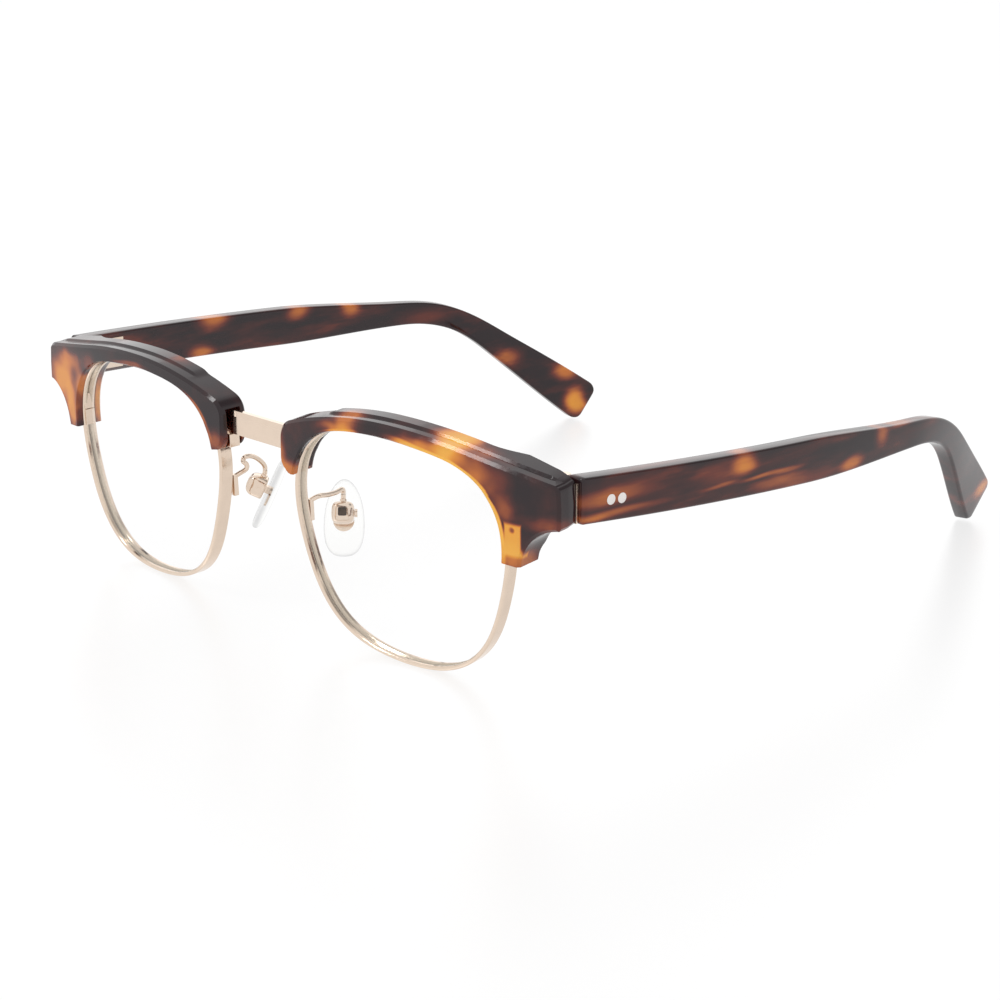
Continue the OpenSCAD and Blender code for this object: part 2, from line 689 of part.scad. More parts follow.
// The temple leaf: its plate lies along the temple's slope, so it turns a little about its start
leaf_x = barrel_r - 0.25;
leaf_deep = 0.7;
leaf_start = barrel_r + 0.15;
leaf_rise = 0.25;
rivet_y = rivet_at - hinge_y + temple_y;
leaf_l = rivet_y + rivet_gap + leaf_end - leaf_start;
module plate_frame() {
  rotate([0, 0, -splay]) translate([leaf_x, 0, leaf_rise]) rotate([-slope, 0, 0]) children();
}

module temple_leaf() {
  color(gold) hinge_frame() difference() {
    union() {
      rotate([0, 0, -splay]) for (i = [1:2:barrels - 1]) barrel(i) translate([leaf_x - leaf_deep, 0, 0])
        cube([2 * leaf_deep, 2 * leaf_start - barrel_r, barrel_h]);
      plate_frame() translate([0, leaf_start, -plate_h / 2]) cube([leaf_deep, leaf_l, plate_h]);
    }
    screw_hole();
    rivet_pair(rivet_r + play);
  }
}

hinge_head_t = 0.5;
module hinge_screw() {
  color(gold) hinge_frame() {
    translate([0, 0, 0.1 - leaf_h / 2]) cylinder(h = leaf_h, r = hinge_screw_r);
    translate([0, 0, leaf_h / 2 + play]) cylinder(h = hinge_head_t, r = barrel_r - 0.1);
  }
}

// The rivets run from inside the leaf to the temple's outer face, where they end flush
rivet_in = 0.05;
rivet_low = 0.15;
module rivet_pair(r) {
  plate_frame() for (i = [0, 1]) translate([rivet_in, rivet_y + i * rivet_gap, -rivet_low])
    rotate([0, 90, 0]) cylinder(h = 2 * temple_t, r = r);
}

module rivets() {
  color(gold) intersection() {
    hinge_frame() rivet_pair(rivet_r);
    temple_solid();
  }
}

// Temple: rounded rings along its path, with a slanted and rounded tip
corner = 0.6;
corner_cut = 0.3;
slant = 1;
slant_at = 125;
slant_l = 15;
function turned(s) = atan((bow(s + 1) - bow(s - 1)) / 2);
function temple_ring(s, shrink, shift) = let(
    p = path(s),
    h = half_h(s) - shrink,
    t = thick(s) / 2 - shrink,
    r = min(corner, t * 0.6),
    c = corner_cut * r,
    up = [0, sin(dip(s)), cos(dip(s))],
    along = [0, cos(dip(s)), -sin(dip(s))],
    turn = [cos(turned(s)), -sin(turned(s)) * cos(dip(s)), 0]
  ) [for (q = [[t, r - h], [t, h - r], [t - c, h - c], [t - r, h], [r - t, h], [c - t, h - c],
      [-t, h - r], [-t, r - h], [c - t, c - h], [r - t, -h], [t - r, -h], [t - c, c - h]])
    p + q[0] * turn + q[1] * up + shift * (q[1] / tip_h + 0.5) * along];

// The front end starts with a flat face at temple_y, with small rounded edges
end_round = 0.4;
function front_ring(shrink, back) = [for (q = temple_ring(end_round, shrink, 0)) [q.x, temple_y + back, q.z]];
function temple_end(i) = [
  temple_ring(tip_s - 1, 0, slant),
  temple_ring(tip_s, tip_shrink, slant),
  temple_ring(tip_s + tip_shrink, 1, slant)][i];

module temple_solid() {
  stops = [for (i = [1:path_steps]) i * (tip_s - 4 * tip_round + 1) / path_steps];
  centred() ring_body(concat(
    [front_ring(end_round, 0), front_ring(corner_cut * end_round, corner_cut * end_round)],
    [front_ring(0, end_round)],
    [for (s = stops) temple_ring(s, 0, slant * ease((s - slant_at) / slant_l))],
    [for (i = [0:2]) temple_end(i)]));
}

core_h = 1.6;
core_t = 0.9;
core_at = 16;
core_end = 8;
core_steps = 28;
module core(grow) {
  w = core_t / 2 + grow;
  h = core_h / 2 + grow;
  centred() ring_body([for (i = [0:core_steps])
    let(p = path(core_at + i * (temple_l - core_at - core_end) / core_steps))
    [for (q = [[w, -h], [w, h], [-w, h], [-w, -h]]) p + [q[0], 0, q[1]]]]);
}

// A temple has a recess for its leaf, holes for the rivets and a channel for the core wire
module temple() {
  color(acetate) difference() {
    temple_solid();
    hinge_frame() {
      plate_frame() translate([-temple_t, -barrel_r - leaf_start, -plate_h / 2 - leaf_seat])
        cube([temple_t + leaf_deep + leaf_seat, barrel_r + 2 * leaf_start + leaf_l + leaf_seat,
          plate_h + 2 * leaf_seat]);
      rivet_pair(rivet_r + play);
    }
    core(play);
  }
}

module core_wire() {
  color(steel) core(0);
}

// How far the whole object is moved forward, so that its middle lies on the origin
front_y = min([for (k = [0:len(brow_rings) - 1]) for (p = brow_section(k)) lens_to_front(p).y]);
back_y = max([for (i = [0:2]) for (p = temple_end(i)) p.y]);
mid_y = (front_y + back_y) / 2;

module right() {
  mirror([1, 0, 0]) children();
}

brow();  // brow_left
right() brow();  // brow_right
rim();  // rim_left
right() rim();  // rim_right
bridge();
lens();  // lens_left
right() lens();  // lens_right
rim_screw();  // rim_screw_left
right() rim_screw();  // rim_screw_right
pad_arm();  // pad_arm_left
right() pad_arm();  // pad_arm_right
pad_box();  // pad_box_left
right() pad_box();  // pad_box_right
nose_pad();  // nose_pad_left
right() nose_pad();  // nose_pad_right
pad_insert();  // pad_insert_left
right() pad_insert();  // pad_insert_right
pad_screw();  // pad_screw_left
right() pad_screw();  // pad_screw_right
front_leaf();  // front_leaf_left
right() front_leaf();  // front_leaf_right
temple_leaf();  // temple_leaf_left
right() temple_leaf();  // temple_leaf_right
hinge_screw();  // hinge_screw_left
right() hinge_screw();  // hinge_screw_right
temple();  // temple_left
right() temple();  // temple_right
core_wire();  // core_wire_left
right() core_wire();  // core_wire_right
rivets();  // rivets_left
right() rivets();  // rivets_right
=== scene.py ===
import math

import bmesh
import bpy
from mathutils import Matrix, Vector


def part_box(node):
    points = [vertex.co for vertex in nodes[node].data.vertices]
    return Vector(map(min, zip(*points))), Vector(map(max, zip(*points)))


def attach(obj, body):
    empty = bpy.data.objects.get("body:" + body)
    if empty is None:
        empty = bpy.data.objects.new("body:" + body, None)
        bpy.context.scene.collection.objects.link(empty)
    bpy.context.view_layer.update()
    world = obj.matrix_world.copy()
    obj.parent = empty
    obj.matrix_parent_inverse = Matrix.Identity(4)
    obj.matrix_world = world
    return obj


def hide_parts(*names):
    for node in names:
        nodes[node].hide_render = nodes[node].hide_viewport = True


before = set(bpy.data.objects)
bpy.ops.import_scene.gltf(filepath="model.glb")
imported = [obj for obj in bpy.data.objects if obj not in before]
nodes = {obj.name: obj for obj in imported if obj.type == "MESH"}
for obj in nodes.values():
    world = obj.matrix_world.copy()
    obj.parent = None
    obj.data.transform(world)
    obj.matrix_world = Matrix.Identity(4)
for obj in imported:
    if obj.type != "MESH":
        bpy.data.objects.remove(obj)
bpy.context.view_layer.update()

# Browline glasses: finished pieces in the place of most CAD solids, their materials, and the studio.
# Sizes are in millimetres and degrees, and most bear part.scad's names. A piece of the front is drawn in
# lens coordinates: u from the lens's centre toward the temple, v up, n back from the rim's front.
# place() turns the result into the frame's metres, for either side.
WORD = {1: "left", -1: "right"}

# The lens, how it stands, and the waves of its outline
LENS_W, LENS_H, LENS_GAP = 48.0, 41.0, 21.0
FRONT_R, LENS_T, BEVEL, GROOVE_GAP = 270.0, 1.9, 0.5, 0.05
WRAP, TILT = 5.2, 2.9
OVAL, SQUARE, LEAN, DROP, FLAT, TIGHT = 0.112, 0.028, 0.016, 0.046, 0.016, 0.009

# The rim, its closing block and its shoe
RIM_OUT, RIM_IN, RIM_D, RIM_ROUND = 0.35, BEVEL - GROOVE_GAP, 2.77, 0.25
BLOCK_H, BLOCK_V, BLOCK_A, BLOCK_D, BLOCK_CUT = 6.4, 6.6, 15, 2.1, 0.12
BLOCK_OUT, BLOCK_BACK = 2.6, 0.9
SHOE_V, SHOE_H, SHOE_D, SHOE_OUT, SHOE_IN = 11.2, 2.5, 2.1, 0.2, 3.2

# The browline
FRONT_LIP, REAR_LIP, LIP_COVER, CLIP_GAP = 1.35, 1.3, 0.31, 0.05
CREST_U, CREST_V, NOSE_U, LUG_U, LUG_V = -1.5, 22.65, 26.7, 35.1, 10.6
SCOOP_R, SCOOP_OUT, LEG_W, LEG_A = 8.0, 0.3, 3.4, 6.0
TIP_R, TIP_V, TIP_OUT, NOSE_A, SHOULDER_R = 2.8, 9.3, 0.85, 161.3, 3.5
NOSE_ARC_R, SIDE_ARC_R, SIDE_TURN = 72.0, 110.0, 9.8
LUG_CORNER_R, LUG_LEAN, LUG_EDGE = 1.0, 0.2, 0.5
BROW_BEVEL, LIP_ROUND, BACK_ROUND, FULL_ROOM = 0.5, 0.35, 0.4, 1.6

# The step on the browline's top, and the extra depth of its lug
SHELF, SHELF_LOW, SHELF_TOP = 0.4, 0.5, 0.1
SHELF_U, SHELF_V, SHELF_END, SHELF_RUN = 17, 15.5, 1.1, 2.2
LUG_EXTRA, LUG_FROM, LUG_RUN, LUG_LOW, LUG_RISE = 2.6, 18, 11, 4, 6

# The bridge and the slots that take it and the shoe
BRIDGE_V, BRIDGE_FRONT, BRIDGE_H, RIDGE_H = 12.75, 0.8, 3.3, 0.8
SLOT_FRONT, SLOT_BACK, SLOT_UNDER, SLOT_OVER = 0.04, 3.11, 0.12, 0.25
BAR_SEAT, SLOT_L, BAR_CLEAR, TENON_CLEAR = 1.4, 7.2, 4, 0.5

# Pads, arms and cups
PAD_H, PAD_W, PAD_T, PAD_TURN, PAD_LEAN = 14.0, 7.4, 1.9, 44.6, 24.6
PAD_X, PAD_Y, PAD_V = 11.6, 8.75, -0.1
PAD_GAP, PAD_DROP, PAD_SQUARE, PAD_TAPER, PAD_FLAT = 0.35, -0.6, 0.35, 0.1, 0.05
FOOT_A, FOOT_H, FOOT_V, FOOT_W, FOOT_GAP = 176, 4.0, 1.6, 0.9, 0.06
ARM_R, ARM_DROP, NECK, NECK_R, PLAY = 0.45, 1.5, 0.4, 0.6, 0.03
CUP_W, CUP_D, CUP_INSET, CUP_FRONT, CUP_BOXY, WINDOW = 4.2, 2.4, 0.04, -2.35, 3.2, 0.72
DOME_AT, DOME_TURN, DOME_POWER, DOME_BOXY, DOME_STEPS = 0.4, 78, 0.62, 2.6, 8

# The hinge, its leaves and the rivets
SEAT_X, SEAT_Y, LEAF_T, TEMPLE_GAP, HINGE_DROP = 52, 8.35, 0.5, 0.15, 2.2
BARREL_R, BARREL_SIDE, BARREL_GAP, LEAF_IN, LEAF_RISE = 1.15, 0.1, 0.05, 0.25, 0.25
RIVET_R, RIVET_AT, RIVET_GAP, RIVET_IN, RIVET_LOW = 0.9, 6.7, 2.35, 0.05, 0.15

# The temple
TEMPLE_L, TEMPLE_H, TEMPLE_T, TIP_T = 144.0, 7.9, 3.8, 3.2
TEMPLE_X, TEMPLE_RISE, NECK_H, TIP_H = 65.8, 0.3, 4.9, 9.9
THIN_AT, THIN_L, WIDEN_AT, WIDEN_L = 55, 40, 102, 44
BEND_AT, BEND_L, BEND = 88.0, 28.0, 34.6
BOW_OUT, BOW_AT, TIP_IN, DRAW_AT, DRAW_L = 3.9, 52.0, 5.0, 88, 60
SLANT, SLANT_AT, SLANT_L, CORNER = 1.0, 125, 15, 0.6
TIP_END, TIP_SHRINK = 1.3, 0.3
TIP_S = TEMPLE_L - TIP_END
TIP_BACK, TIP_ROUND, TIP_SOFT, SWEEP_END = 0.4, 2.4, 0.55, 6
# Each face lies this far inside the solid's, so that the folded temples don't touch
HAIR = 0.03

# Counts of facets
STATIONS, CUP_N, PAD_N, NECK_N, RIVET_N = 240, 64, 120, 24, 36
PATH_N, SWEEP_N, TIP_N = 144, 220, 16

# Places in the frame, which the bridge's node gives
MM = 0.001
MID_N = RIM_D / 2
LENS_X = (LENS_W + LENS_GAP) / 2
bridge_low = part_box("bridge")[0]
SHIFT_Y = -BRIDGE_FRONT - bridge_low.y / MM
LENS_Z = bridge_low.z / MM - BRIDGE_V
HINGE_Z = LENS_Z + (LUG_V + CREST_V) / 2 - HINGE_DROP
TEMPLE_Y = SEAT_Y + LEAF_T + TEMPLE_GAP


def sin(a):
    return math.sin(math.radians(a))


def cos(a):
    return math.cos(math.radians(a))


def ease(t):
    c = max(0.0, min(1.0, t))
    return c * c * (3 - 2 * c)


# Lens outline
def raw(a):
    r = (1 + OVAL * cos(2 * a) - SQUARE * cos(4 * a) - TIGHT * cos(6 * a)
         - LEAN * sin(2 * a) + DROP * sin(3 * a) + FLAT * sin(5 * a))
    return r * cos(a), r * sin(a)


ROUND = [raw(a) for a in range(0, 360, 2)]
LOW = [min(p[i] for p in ROUND) for i in (0, 1)]
HIGH = [max(p[i] for p in ROUND) for i in (0, 1)]


def base(a):
    """The lens's bevel line at the angle a."""
    p = raw(a)
    return tuple((p[i] - (LOW[i] + HIGH[i]) / 2) * (LENS_W, LENS_H)[i] / (HIGH[i] - LOW[i]) for i in (0, 1))


def edge(a, off):
    """A point off the bevel line, square to it."""
    b, p, q = base(a), base(a - 1), base(a + 1)
    d = (q[0] - p[0], q[1] - p[1])
    size = math.hypot(*d)
    return b[0] + off * d[1] / size, b[1] - off * d[0] / size


def sag(u, v):
    return (u * u + v * v) / (2 * FRONT_R)


# Charts from a piece's own coordinates to the frame's
def on_front(p, n):
    """A place in lens coordinates that follows the front's curve; p is (u, v)."""
    x, y, z = p[0], n + sag(*p), p[1]
    y, z = y * cos(TILT) - z * sin(TILT), y * sin(TILT) + z * cos(TILT)
    return LENS_X + x * cos(WRAP) - y * sin(WRAP), x * sin(WRAP) + y * cos(WRAP), LENS_Z + z


def raised(u, n, v):
    """A place in lens coordinates whose n is not bent by the front's curve."""
    return on_front((u, v), n - sag(u, v))


def from_pad(p):
    """A place in the pad's coordinates: across, back and up from its screw."""
    x, y, z = p
    y, z = y * cos(PAD_LEAN) + z * sin(PAD_LEAN), z * cos(PAD_LEAN) - y * sin(PAD_LEAN)
    return (PAD_X + x * cos(PAD_TURN) - y * sin(PAD_TURN),
            PAD_Y + x * sin(PAD_TURN) + y * cos(PAD_TURN),
            LENS_Z + PAD_V + z)


def place(p, side):
    """A point in mm to the frame in metres; side is 1 for the wearer's left and -1 for the right."""
    return side * p[0] * MM, (p[1] - SHIFT_Y) * MM, p[2] * MM


# Mesh helpers
def solid(name, verts, faces, side):
    me = bpy.data.meshes.new(name)
    me.from_pydata([place(v, side) for v in verts], [], faces)
    bm = bmesh.new()
    bm.from_mesh(me)
    bmesh.ops.recalc_face_normals(bm, faces=bm.faces)
    bm.to_mesh(me)
    bm.free()
    return me


def carved(o, cutter):
    """Cuts the mesh cutter out of the object o, once and for all."""
    tool = bpy.data.objects.new("cutter", cutter)
    bpy.context.scene.collection.objects.link(tool)
    m = o.modifiers.new("carving", "BOOLEAN")
    m.object, m.operation, m.solver = tool, "DIFFERENCE", "EXACT"
    made = bpy.data.meshes.new_from_object(o.evaluated_get(bpy.context.evaluated_depsgraph_get()))
    o.modifiers.clear()
    made.name = o.name
    o.data = made
    bpy.data.objects.remove(tool)


def piece(name, shape, side, material, body, replaced, sharp=32, shade=None, cutters=()):
    """A visible piece in the place of a node. shape is its vertices and faces, sharp the angle from which
    an edge stays sharp, and shade a value for each vertex that the material may read."""
    me = solid(name, *shape, side)
    if shade:
        me.attributes.new("shade", "FLOAT", "POINT").data.foreach_set("value", shade)
    me.materials.append(material)
    o = bpy.data.objects.new(name, me)
    bpy.context.scene.collection.objects.link(o)
    for cutter in cutters:
        carved(o, solid("cutter", *cutter, side))
    o.data.shade_smooth()
    o.data.set_sharp_from_angle(angle=math.radians(sharp))
    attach(o, body)
    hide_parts(replaced)
    return o


def rounded(o, width, segments, angle):
    m = o.modifiers.new("rounding", "BEVEL")
    m.width = width * MM
    m.segments = segments
    m.limit_method = "ANGLE"
    m.angle_limit = math.radians(angle)
    m.harden_normals = True


def loft(rings, loop=False):
    """Vertices and faces of a shell through rings of equal length, closed by two caps or in a loop."""
    n, m = len(rings), len(rings[0])
    verts = [p for r in rings for p in r]
    faces = []
    for i in range(n if loop else n - 1):
        for j in range(m):
            a, b = i * m + j, i * m + (j + 1) % m
            c, d = (i + 1) % n * m + (j + 1) % m, (i + 1) % n * m + j
            faces.append((a, b, c, d))
    if not loop:
        faces.append(tuple(range(m - 1, -1, -1)))
        faces.append(tuple((n - 1) * m + j for j in range(m)))
    return verts, faces


def merged(*parts):
    verts, faces = [], []
    for v, f in parts:
        k = len(verts)
        verts += list(v)
        faces += [tuple(i + k for i in q) for q in f]
    return verts, faces


def bar(u0, u1, n0, n1, v0, v1):
    """A box in lens coordinates, straight along n."""
    pts = [raised(u, n, v) for u in (u0, u1) for n in (n0, n1) for v in (v0, v1)]
    return pts, [(0, 1, 3, 2), (4, 6, 7, 5), (0, 4, 5, 1), (2, 3, 7, 6), (0, 2, 6, 4), (1, 5, 7, 3)]


# Shader helpers
def node(nt, kind, **values):
    n = nt.nodes.new(kind)
    for k, v in values.items():
        setattr(n, k, v)
    return n


def new_material(name):
    m = bpy.data.materials.new(name)
    m.use_nodes = True
    nt = m.node_tree
    nt.nodes.clear()
    return m, nt, node(nt, "ShaderNodeOutputMaterial")


def object_place(nt):
    return node(nt, "ShaderNodeTexCoord").outputs["Object"]


def noise(nt, vector, scale, detail=3.0, roughness=0.5):
    n = node(nt, "ShaderNodeTexNoise")
    n.inputs["Scale"].default_value = scale
    n.inputs["Detail"].default_value = detail
    n.inputs["Roughness"].default_value = roughness
    nt.links.new(vector, n.inputs["Vector"])
    return n


def maths(nt, op, a, b):
    n = node(nt, "ShaderNodeMath", operation=op)
    for socket, v in zip(n.inputs, (a, b)):
        if isinstance(v, (int, float)):
            socket.default_value = v
        else:
            nt.links.new(v, socket)
    return n.outputs[0]


def vector_maths(nt, op, vector, operand=None):
    """operand is a vector's three values, another socket, or the factor of SCALE."""
    n = node(nt, "ShaderNodeVectorMath", operation=op)
    nt.links.new(vector, n.inputs[0])
    if op == "SCALE":
        n.inputs["Scale"].default_value = operand
    elif isinstance(operand, tuple):
        n.inputs[1].default_value = operand
    elif operand is not None:
        nt.links.new(operand, n.inputs[1])
    return n.outputs["Value" if op in ("LENGTH", "DOT_PRODUCT") else "Vector"]


def remap(nt, value, f0, f1, t0, t1):
    """Maps f0 to f1 smoothly onto t0 to t1."""
    n = node(nt, "ShaderNodeMapRange", interpolation_type="SMOOTHSTEP")
    for k, v in zip(("From Min", "From Max", "To Min", "To Max"), (f0, f1, t0, t1)):
        n.inputs[k].default_value = v
    nt.links.new(value, n.inputs["Value"])
    return n.outputs[0]


def bump(nt, bsdf, height, strength, distance):
    n = node(nt, "ShaderNodeBump")
    n.inputs["Strength"].default_value = strength
    n.inputs["Distance"].default_value = distance
    nt.links.new(height, n.inputs["Height"])
    nt.links.new(n.outputs[0], bsdf.inputs["Normal"])


def shade_of(nt):
    return node(nt, "ShaderNodeAttribute", attribute_name="shade").outputs["Fac"]


def mixed(nt, share, first, second):
    """A mix of two shaders; share is a number or a socket."""
    n = node(nt, "ShaderNodeMixShader")
    if isinstance(share, float):
        n.inputs[0].default_value = share
    else:
        nt.links.new(share, n.inputs[0])
    nt.links.new(first.outputs[0], n.inputs[1])
    nt.links.new(second.outputs[0], n.inputs[2])
    return n


def seen(nt, path):
    """1 for the camera's rays and for those that metal and glass send on."""
    passed = maths(nt, "MAXIMUM", path.outputs["Is Glossy Ray"], path.outputs["Is Transmission Ray"])
    return maths(nt, "MAXIMUM", path.outputs["Is Camera Ray"], passed)


def from_centre(nt, vector, centre, radii):
    """The way from centre, as shares of the radii."""
    return vector_maths(nt, "DIVIDE", vector_maths(nt, "SUBTRACT", vector, centre), radii)


def spot(nt, vector, centre, radii):
    """1 in the middle of an ellipsoid in metres, falling softly to 0 around it."""
    size = vector_maths(nt, "LENGTH", from_centre(nt, vector, centre, radii))
    return remap(nt, size, 1.5, 0.35, 0.0, 1.0)


def block(nt, vector, centre, radii):
    """1 inside a block with soft edges, 0 outside."""
    split = node(nt, "ShaderNodeSeparateXYZ")
    nt.links.new(vector_maths(nt, "ABSOLUTE", from_centre(nt, vector, centre, radii)), split.inputs[0])
    x, y, z = split.outputs
    return remap(nt, maths(nt, "MAXIMUM", maths(nt, "MAXIMUM", x, y), z), 1.15, 0.80, 0.0, 1.0)


# Materials
# Colours of the acetate by tone, from 0, dark, to 1, yellow
TORTOISE = [(0.0, (0.017, 0.009, 0.011)), (0.22, (0.055, 0.014, 0.013)), (0.38, (0.135, 0.026, 0.016)),
            (0.52, (0.28, 0.068, 0.022)), (0.68, (0.54, 0.160, 0.028)), (0.85, (0.82, 0.32, 0.036)),
            (1.0, (1.0, 0.53, 0.08))]
SHOVE_SCALE, SHOVE_SIZE = 150.0, 0.0035
THIN_LIP, THICK_LIP = 0.85, 1.45


def toned(nt, tone, vector, steady, thin, patch):
    """The tone with one patch laid over it."""
    centre, radii, level, kind = patch
    # a block patch is a painted glow of the metal inside the acetate
    shape = block(nt, steady, centre, radii) if kind == "block" else spot(nt, vector, centre, radii)
    added = maths(nt, "MULTIPLY", shape, level)
    if level < 0:
        return maths(nt, "MULTIPLY", tone, maths(nt, "ADD", added, 1.0))
    # an edge patch is painted light shining through the lip, so it shows only where the lip is thin
    if kind == "edge":
        added = maths(nt, "MULTIPLY", added, thin)
    left = maths(nt, "SUBTRACT", 1.0, tone)
    return maths(nt, "ADD", tone, maths(nt, "MULTIPLY", added, left))


def acetate(name, patches, cloud_scale, cloud_tone, stretch=1.0):
    """Tortoise acetate: dark brown with red-brown and amber patches, clearer where it is amber.
    Each patch is (centre in metres, radii in metres, tone, kind): a spot has wavy soft edges, an edge patch
    is painted light, amber where light shines through the thin lip, and shows only where the lip is thin,
    along the rim, a block has straight sides and is a painted glow of the metal that shows through, and a
    tone below 0 is a dark spot on what is there. stretch below 1 draws the clouds out along Y."""
    m, nt, out = new_material(name)
    bsdf = node(nt, "ShaderNodeBsdfPrincipled")
    at = object_place(nt)
    drawn = vector_maths(nt, "MULTIPLY", at, (1, stretch, 1))
    shove = noise(nt, drawn, SHOVE_SCALE, 2.0)
    centred = vector_maths(nt, "SUBTRACT", shove.outputs["Color"], (0.5, 0.5, 0.5))
    vector = vector_maths(nt, "ADD", at, vector_maths(nt, "SCALE", centred, SHOVE_SIZE))
    # a faint cloudiness everywhere, so that no dark area is one colour
    cloud = noise(nt, drawn, cloud_scale, 3.0, 0.55)
    tone = remap(nt, cloud.outputs["Fac"], 0.40, 0.78, 0.0, cloud_tone)
    thin = remap(nt, shade_of(nt), THICK_LIP, THIN_LIP, 0.0, 1.0)
    for patch in patches:
        tone = toned(nt, tone, vector, at, thin, patch)
    ramp = node(nt, "ShaderNodeValToRGB")
    while len(ramp.color_ramp.elements) < len(TORTOISE):
        ramp.color_ramp.elements.new(0.5)
    for e, (position, colour) in zip(ramp.color_ramp.elements, TORTOISE):
        e.position = position
        e.color = (*colour, 1)
    nt.links.new(tone, ramp.inputs[0])
    nt.links.new(ramp.outputs[0], bsdf.inputs["Base Color"])
    nt.links.new(remap(nt, tone, 0.6, 1.0, 0.0, 0.2), bsdf.inputs["Transmission Weight"])
    fine = noise(nt, at, 900.0)
    nt.links.new(remap(nt, fine.outputs["Fac"], 0.3, 0.8, 0.05, 0.12), bsdf.inputs["Roughness"])
    bsdf.inputs["IOR"].default_value = 1.49
    bsdf.inputs["Specular IOR Level"].default_value = 0.4
    bump(nt, bsdf, noise(nt, at, 260.0, 2.0).outputs["Fac"], 0.03, 0.0004)
    # lamps pass only the amber parts
    shadow = node(nt, "ShaderNodeLightPath").outputs["Is Shadow Ray"]
    passed = maths(nt, "MULTIPLY", shadow, remap(nt, tone, 0.5, 1.0, 0.0, 0.6))
    mix = mixed(nt, passed, bsdf, node(nt, "ShaderNodeBsdfTransparent"))
    nt.links.new(mix.outputs[0], out.inputs[0])
    return m


# METAL_WEAR is real wear; the dark colour is painted shade for the rim's groove and the pad cup's window
METAL_WEAR, RECESS_SHADE_COLOUR = 0.05, (0.06, 0.035, 0.02, 1)


def metal(name, colour, rough):
    """Polished metal; where a vertex has a shade above 0, painted shade darkens it towards a dark brown."""
    m, nt, out = new_material(name)
    bsdf = node(nt, "ShaderNodeBsdfPrincipled")
    nt.links.new(bsdf.outputs[0], out.inputs[0])
    at = object_place(nt)
    stain = noise(nt, at, 420.0, 4.0, 0.6)
    ramp = node(nt, "ShaderNodeValToRGB")
    low, high = ramp.color_ramp.elements
    low.position, high.position = 0.3, 0.75
    low.color = (*[c * (1 - METAL_WEAR) for c in colour], 1)
    high.color = (*colour, 1)
    nt.links.new(stain.outputs["Fac"], ramp.inputs[0])
    # painted shade: the shade attribute mixes the dark colour into the gold
    mix = node(nt, "ShaderNodeMix", data_type="RGBA")
    nt.links.new(shade_of(nt), mix.inputs[0])
    nt.links.new(ramp.outputs[0], mix.inputs[6])
    mix.inputs[7].default_value = RECESS_SHADE_COLOUR
    nt.links.new(mix.outputs[2], bsdf.inputs["Base Color"])
    bsdf.inputs["Metallic"].default_value = 1.0
    scratch = noise(nt, at, 2600.0, 2.0)
    nt.links.new(remap(nt, scratch.outputs["Fac"], 0.3, 0.7, rough, rough + 0.08), bsdf.inputs["Roughness"])
    bump(nt, bsdf, scratch.outputs["Fac"], 0.04, 0.00005)
    return m


def clear(name, colour, edge_colour, ior, rough):
    """A thin clear material: light passes straight, a glossy film lies over it, and where a vertex has a
    shade above 0 it takes the edge colour."""
    m, nt, out = new_material(name)
    cloud = noise(nt, object_place(nt), 300.0)
    through = node(nt, "ShaderNodeBsdfTransparent")
    tint = node(nt, "ShaderNodeMix", data_type="RGBA")
    uneven = remap(nt, cloud.outputs["Fac"], 0.2, 0.6, 0.6, 1.0)
    nt.links.new(maths(nt, "MULTIPLY", shade_of(nt), uneven), tint.inputs[0])
    tint.inputs[6].default_value = (*colour, 1)
    tint.inputs[7].default_value = (*edge_colour, 1)
    nt.links.new(tint.outputs[2], through.inputs["Color"])
    film = node(nt, "ShaderNodeBsdfGlossy")
    rougher = remap(nt, cloud.outputs["Fac"], 0.3, 0.7, rough, rough * 1.6 + 0.004)
    nt.links.new(rougher, film.inputs["Roughness"])
    fresnel = node(nt, "ShaderNodeFresnel")
    fresnel.inputs["IOR"].default_value = ior
    outside = maths(nt, "SUBTRACT", 1.0, node(nt, "ShaderNodeNewGeometry").outputs["Backfacing"])
    mix = mixed(nt, maths(nt, "MULTIPLY", fresnel.outputs[0], outside), through, film)
    nt.links.new(mix.outputs[0], out.inputs[0])
    return m


GOLD = metal("pale_gold", (0.79, 0.645, 0.525), 0.08)
BRIGHT = metal("polished_rivet", (0.80, 0.76, 0.73), 0.15)
STEEL = metal("steel", (0.62, 0.61, 0.60), 0.22)
LENS = clear("lens_clear", (1.0, 1.0, 1.0), (0.9, 0.92, 0.91), 1.5, 0.0)
# The silicone's edge colour is a painted grey outline, shade that refraction gives at the pad's rim
SILICONE = clear("silicone_clear", (0.998, 0.998, 0.993), (0.84, 0.84, 0.84), 1.38, 0.05)

# Browlines: a section for each point of the outer line, paired with an angle of the lens
nose_c = (CREST_U, CREST_V - NOSE_ARC_R)
side_c = (CREST_U, CREST_V - SIDE_ARC_R)
shoulder_u = SHOULDER_R - NOSE_U
shoulder_rise = math.sqrt((NOSE_ARC_R - SHOULDER_R) ** 2 - (shoulder_u - CREST_U) ** 2)
shoulder_c = (shoulder_u, nose_c[1] + shoulder_rise)
shoulder_a = 90 + math.degrees(math.atan((CREST_U - shoulder_u) / (shoulder_c[1] - nose_c[1])))
side_end = (side_c[0] + SIDE_ARC_R * sin(SIDE_TURN), side_c[1] + SIDE_ARC_R * cos(SIDE_TURN))
side_fall = math.tan(math.radians(SIDE_TURN))
lug_top = (LUG_U - LUG_LEAN, side_end[1] - (LUG_U - LUG_LEAN - side_end[0]) * side_fall)
scoop_c = (LUG_U + SCOOP_OUT, LUG_V - SCOOP_R)


def arc(c, r, a0, a1, n):
    turns = [a0 + (a1 - a0) * i / n for i in range(n + 1)]
    return [(c[0] + r * cos(a), c[1] + r * sin(a)) for a in turns]


def line(p, q, n):
    return [tuple(p[k] + (q[k] - p[k]) * i / n for k in (0, 1)) for i in range(1, n + 1)]


def paired(points, a0, a1):
    """Points with the angles of the lens from a0 to a1."""
    return [(p, a0 + (a1 - a0) * i / max(1, len(points) - 1)) for i, p in enumerate(points)]


